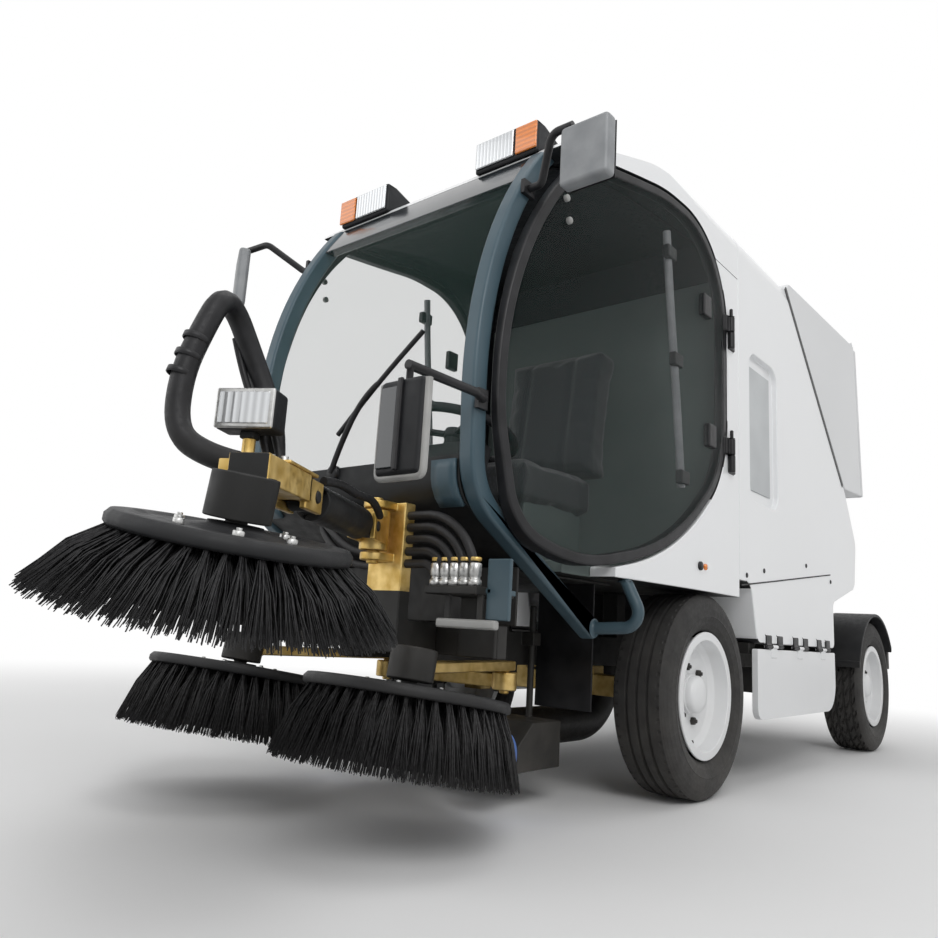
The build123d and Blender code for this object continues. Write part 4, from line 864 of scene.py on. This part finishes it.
def housing():
    """Housings, hopper, chassis frame and axles."""
    for node, material, width in (
        ("body_deck", "white", 0.004), ("hopper", "hopper", 0.008), ("hopper_tailgate", "hopper", 0.010),
        ("rear_guards", "plastic", 0.004), ("rear_lamps", "red", 0.006), ("engine_block", "cast", 0.012),
        ("tip_cylinder", "black", 0.003), ("chassis_frame", "black", 0.004),
        ("front_axle", "zinc", 0.004), ("rear_axle", "black", 0.006),
    ):
        rounded(node, material, width)
    rounded("body_panels", "white", 0.005, "seal",
            lambda spot, normal: outside(spot) or (normal.z < -0.6 and spot.z < SILL_Z))
    dress("tip_rod", "chrome")
    for name, side in SIDES:
        rounded("skirt_" + name, "white", 0.0015)
        rounded("knuckle_" + name, "zinc", 0.003)
        panel_lines(name, side)
    underside()


def panel_lines(name, side):
    """Belt seam, screws, recessed pane in painted shade, marker lamp and the black strip along the hopper's slope:
    a rubber seal with the painted shadow of the gap beside it.
    """
    face = side * TRIM_Y
    out = (0, side, 0)
    belt = [at(x, face, z) for x, z in ((-252, 684), (-600, 726), (-950, 769), (-1297, 811))]
    strip("belt_seam_" + name, belt, 0.005, "seam", "chassis", out)
    for i, (x, z) in enumerate(((-300, 722), (-471, 753), (-961, 819), (-1300, 780))):
        disc("panel_screw_%d_%s" % (i, name), at(x, face, z), out, 0.009, 0.003, "seal", "chassis")
    disc("marker_base_" + name, at(88, face, 717), out, 0.014, 0.005, "seal", "chassis")
    disc("marker_lens_" + name, at(52, face, 717), out, 0.010, 0.006, "amber", "chassis")
    # Black strip along the hopper's lower front edge: a rubber seal, and painted shadow of the gap beside it.
    slope = [at(x, face, z) for x, z in ((-765, 1983), (-1100, 1668), (-1540, 1258))]
    strip("slope_seal_and_shadow_" + name, slope, 0.022, "seal", "chassis", out)
    # Grey pane at the bottom of the recess: painted shade of the pocket.
    low, high = sorted((side * 558.5, side * 562))
    block("recess_shade_pane_" + name, at(-600, low, 1045), at(-385, high, 1525), "recess", "chassis", 0.002)


def underside():
    """Black guard plates and splash curtains that close the space under the cab's nose; their black is painted
    shade of the space under the cab.
    """
    # Black plates and curtains: painted shade of the shaded space under the cab.
    block("nose_guard_shade", at(842, -425, 492), at(850, 425, 640), "black", "chassis", 0.003)
    block("floor_guard_shade", at(330, -395, 632), at(842, 395, 639), "black", "chassis", 0.002)
    for name, side in SIDES:
        low, high = sorted((side * 185, side * 385))
        block("splash_curtain_shade_" + name, at(400, low, 262), at(406, high, 634), "seal", "chassis", 0.002)


def sweeping_gear():
    """Boom, brush arms, nozzle and hoses."""
    for node, material, width in (
        ("boom_root", "zinc", 0.003), ("boom_arm", "black", 0.003), ("work_lamp", "plastic", 0.008),
        ("brush_beam", "zinc", 0.004), ("suction_nozzle", "black", 0.004),
        ("nozzle_roller_left", "blue_roller", 0.006), ("nozzle_roller_right", "blue_roller", 0.006),
        ("hydraulic_hoses", "hose", 0.0), ("suction_duct", "hose", 0.0),
    ):
        rounded(node, material, width)
    rounded("boom_base", "zinc", 0.004, "black", lambda spot, normal: spot.z < COLUMN_FOOT_Z, COLUMN_FOOT_Z)
    rounded("boom_head", "zinc", 0.003, "black", lambda spot, normal: near_axis(spot, "front_brush_spin"))
    for name, _ in SIDES:
        spin = "brush_spin_" + name
        rounded("brush_arm_" + name, "zinc", 0.004, "black",
                lambda spot, normal, spin=spin: near_axis(spot, spin))
    lamp_and_boom_hoses()
    hose_fittings()


def near_axis(spot, joint):
    """True for a point on a brush motor, close to the brush's axis."""
    axis = Vector(JOINTS[joint]["axis"])
    away = spot - joint_at(joint)
    return (away - axis * away.dot(axis)).length < MOTOR_R


def boom_at(u, v, w):
    """Point by the boom in millimetres: along it from its swing pin, to its left, and up."""
    start = joint_at("boom_swing")
    along = joint_at("boom_level") - start
    along.z = 0.0
    along.normalize()
    left = Vector((-along.y, along.x, 0))
    return Vector((start.x, start.y, BOOM_Z)) + (along * u + left * v + Vector((0, 0, w))) / 1000


def boom_route(*spots):
    """Route of points by the boom."""
    return [boom_at(*spot) for spot in spots]


def boom_block(name, low, high, material, width):
    """Rounded block on the boom's head, between two corners in the boom's own directions."""
    corners = [boom_at(*corner) for corner in product(*zip(low, high))]
    faces = [(0, 1, 3, 2), (4, 6, 7, 5), (0, 4, 5, 1), (2, 3, 7, 6), (0, 2, 6, 4), (1, 5, 7, 3)]
    soften(from_arrays(name, corners, faces, material, "boom_head"), width)


def lamp_and_boom_hoses():
    """Sleeved hose loop, work lamp lens, plate, clamp and thin hoses on the boom."""
    route = boom_route((655, -58, 30), (660, -110, 40), (666, -176, 80), (660, -182, 190), (640, -160, 290),
                       (612, -150, 356), (552, -150, 356), (515, -130, 290), (490, -95, 200),
                       (508, -58, 110), (510, -55, 28))
    sleeve = hose("boom_sleeve", route, 0.022, "hose", "boom_head")
    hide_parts("boom_hose")
    boom_block("work_lamp_rim", (598, -139, 106), (606, -25, 182), "silver", 0.004)
    boom_block("work_lamp_lens", (604, -131, 114), (609, -33, 174), "lens", 0.002)
    boom_block("head_plate", (500, -34, 36), (640, 34, 42), "zinc", 0.002)
    boom_block("lamp_clamp", (556, -96, 92), (584, -68, 106), "black", 0.003)
    band = [(0.0225, -0.006), (0.0245, -0.005), (0.0245, 0.005), (0.0225, 0.006)]
    rising = boom_at(0, 21, 100) - boom_at(19, 0, 0)
    for i, w in enumerate((190, 225, 260)):
        spot = boom_at(661 - 0.19 * (w - 190), -184 + 0.21 * (w - 190), w)
        lathe("sleeve_band_%d" % i, band, aimed(spot, rising), "seal", "boom_head", 24)
    for i, v in enumerate((-46, 46)):
        route = boom_route((120, v, 20), (200, 1.2 * v, 46), (320, 1.2 * v, 34), (420, v, 44),
                           (470, 0.7 * v, 36))
        hose("boom_feed_%d" % i, route, 0.009, "hose", "boom_arm")
    end = [(0.011, 0.0), (0.011, 0.024), (0.008, 0.026), (0.008, 0.040)]
    for i, (u, v) in enumerate(((515, -60), (530, -40), (545, -60))):
        route = boom_route((u - 15, v - 95, 330 - 12 * i), (u - 30, v - 80, 240), (u - 10, v - 20, 130),
                           (u + 10, v + 18, 32))
        hose("boom_line_%d" % i, route, 0.007, "hose", "boom_head")
        foot = aimed(boom_at(u + 10, v + 18, 28), (0, 0, 1))
        lathe("boom_line_end_%d" % i, end, foot, "silver", "boom_head", 6)


def hose_fittings():
    """Crimped hose ends, the hoses behind the column, and the plates and light bar beside them."""
    end = [(0.0, 0.0), (0.016, 0.0), (0.016, 0.014), (0.012, 0.016), (0.012, 0.022), (0.0145, 0.024),
           (0.0145, 0.052), (0.0115, 0.054)]
    band = [(0.0120, 0.058), (0.0135, 0.059), (0.0135, 0.066), (0.0120, 0.067)]
    for i in range(5):
        foot = aimed(at(1069, 345 + 30 * i, 575), (0, 0, 1))
        lathe("hose_end_%d" % i, end, foot, "silver", "chassis", 18)
        lathe("hose_band_%d" % i, band, foot, "zinc", "chassis", 18)
    for i in range(4):
        rise = 34 * i
        route = [at(1066, 126, 622 + rise), at(1070, 80, 622 + rise), at(1074, 20, 640 + rise),
                 at(1070, -60, 690 + rise), at(1052, -120, 740 + 0.5 * rise),
                 at(1010, -150, 760 + 0.4 * rise)]
        hose("column_line_%d" % i, route, 0.010, "hose", "chassis")
    block("hose_plate", at(1040, 487, 500), at(1052, 552, 640), "blue", "chassis", 0.003)
    block("hose_plate_foot", at(955, 470, 560), at(1052, 500, 572), "blue", "chassis", 0.002)
    block("light_bar", at(1052, 352, 478), at(1072, 530, 500), "edge", "chassis", 0.006)
    for i, y in enumerate((372, 470)):
        block("light_bar_stay_%d" % i, at(1056, y, 498), at(1064, y + 16, 556), "black", "chassis", 0.002)


# Camera, light and floor


def camera():
    """Camera at the photograph's place."""
    right, up = Vector(CAMERA_RIGHT), Vector(CAMERA_UP)
    data = bpy.data.cameras.new("camera")
    data.sensor_width = SENSOR_MM
    data.lens = SENSOR_MM * FOCAL_PX / IMAGE_PX
    data.clip_start = 0.05
    piece = bpy.data.objects.new("camera", data)
    axes = Matrix((right, up, right.cross(up))).transposed().to_4x4()
    piece.matrix_world = Matrix.Translation(at(0, 0, 0) + Vector(CAMERA_AT)) @ axes
    bpy.context.collection.objects.link(piece)
    bpy.context.scene.camera = piece


def area_light(name, place, target, size, power):
    """Soft lamp that faces a point."""
    data = bpy.data.lights.new(name, "AREA")
    data.size = size
    data.energy = power
    piece = bpy.data.objects.new(name, data)
    piece.matrix_world = aimed(place, Vector(place) - Vector(target))
    bpy.context.collection.objects.link(piece)


def white_behind(tree):
    """Plain soft light all round, in front of a background that shows as white."""
    soft = tree.nodes["Background"]
    soft.inputs["Color"].default_value = (1.0, 1.0, 1.0, 1.0)
    soft.inputs["Strength"].default_value = WORLD_LIGHT
    shown = tree.nodes.new("ShaderNodeBackground")
    shown.inputs["Color"].default_value = (1.0, 1.0, 1.0, 1.0)
    ray = tree.nodes.new("ShaderNodeLightPath")
    total = ray.outputs["Is Camera Ray"]
    for name in ("Is Glossy Ray", "Is Transmission Ray"):
        both = tree.nodes.new("ShaderNodeMath")
        both.operation = "MAXIMUM"
        tree.links.new(total, both.inputs[0])
        tree.links.new(ray.outputs[name], both.inputs[1])
        total = both.outputs["Value"]
    mix = tree.nodes.new("ShaderNodeMixShader")
    tree.links.new(total, mix.inputs["Fac"])
    tree.links.new(soft.outputs["Background"], mix.inputs[1])
    tree.links.new(shown.outputs["Background"], mix.inputs[2])
    tree.links.new(mix.outputs["Shader"], tree.nodes["World Output"].inputs["Surface"])


def floor_finish():
    """Pale floor that fades into the white background away from the machine."""
    colors = ((0.86, 0.86, 0.86), (0.88, 0.88, 0.88))
    material = surface("pale_floor", colors, 0.7, (0.7, 0.8), bumpy=0.0, shine=0.2)
    tree = material.node_tree
    distance = tree.nodes.new("ShaderNodeVectorMath")
    distance.operation = "LENGTH"
    tree.links.new(tree.nodes.new("ShaderNodeTexCoord").outputs["Object"], distance.inputs[0])
    fade = tree.nodes.new("ShaderNodeMapRange")
    fade.interpolation_type = "SMOOTHSTEP"
    fade.inputs["From Min"].default_value = FADE_FROM
    fade.inputs["From Max"].default_value = FADE_TO
    tree.links.new(distance.outputs["Value"], fade.inputs["Value"])
    seen = tree.nodes.new("ShaderNodeMath")
    seen.operation = "MULTIPLY"
    tree.links.new(fade.outputs["Result"], seen.inputs[0])
    tree.links.new(tree.nodes.new("ShaderNodeLightPath").outputs["Is Camera Ray"], seen.inputs[1])
    mix = tree.nodes.new("ShaderNodeMixShader")
    tree.links.new(seen.outputs["Value"], mix.inputs["Fac"])
    tree.links.new(tree.nodes["Principled BSDF"].outputs["BSDF"], mix.inputs[1])
    tree.links.new(tree.nodes.new("ShaderNodeEmission").outputs["Emission"], mix.inputs[2])
    tree.links.new(mix.outputs["Shader"], tree.nodes["Material Output"].inputs["Surface"])
    return material


def studio():
    """Pale floor, soft white surround and three soft lamps."""
    scene = bpy.context.scene
    scene.view_settings.view_transform = "Standard"
    world = bpy.data.worlds.new("studio")
    world.use_nodes = True
    white_behind(world.node_tree)
    scene.world = world
    mesh = bpy.data.meshes.new("floor")
    ends = ((-1, -1), (1, -1), (1, 1), (-1, 1))
    corners = [(x * FLOOR_REACH, y * FLOOR_REACH, FLOOR_Z) for x, y in ends]
    mesh.from_pydata(corners, [], [(0, 1, 2, 3)])
    floor = bpy.data.objects.new("floor", mesh)
    bpy.context.collection.objects.link(floor)
    mesh.materials.append(floor_finish())
    area_light("key", (4.2, 4.4, 4.6), (0.4, 0, 0.9), 3.0, 150.0)
    area_light("fill", (5.0, -3.0, 3.0), (0.5, 0, 0.8), 4.0, 45.0)
    area_light("top", (-0.5, 0.5, 6.0), (-0.5, 0, 0.5), 4.0, 60.0)


wheels()
brushes()
cab()
housing()
sweeping_gear()
camera()
studio()
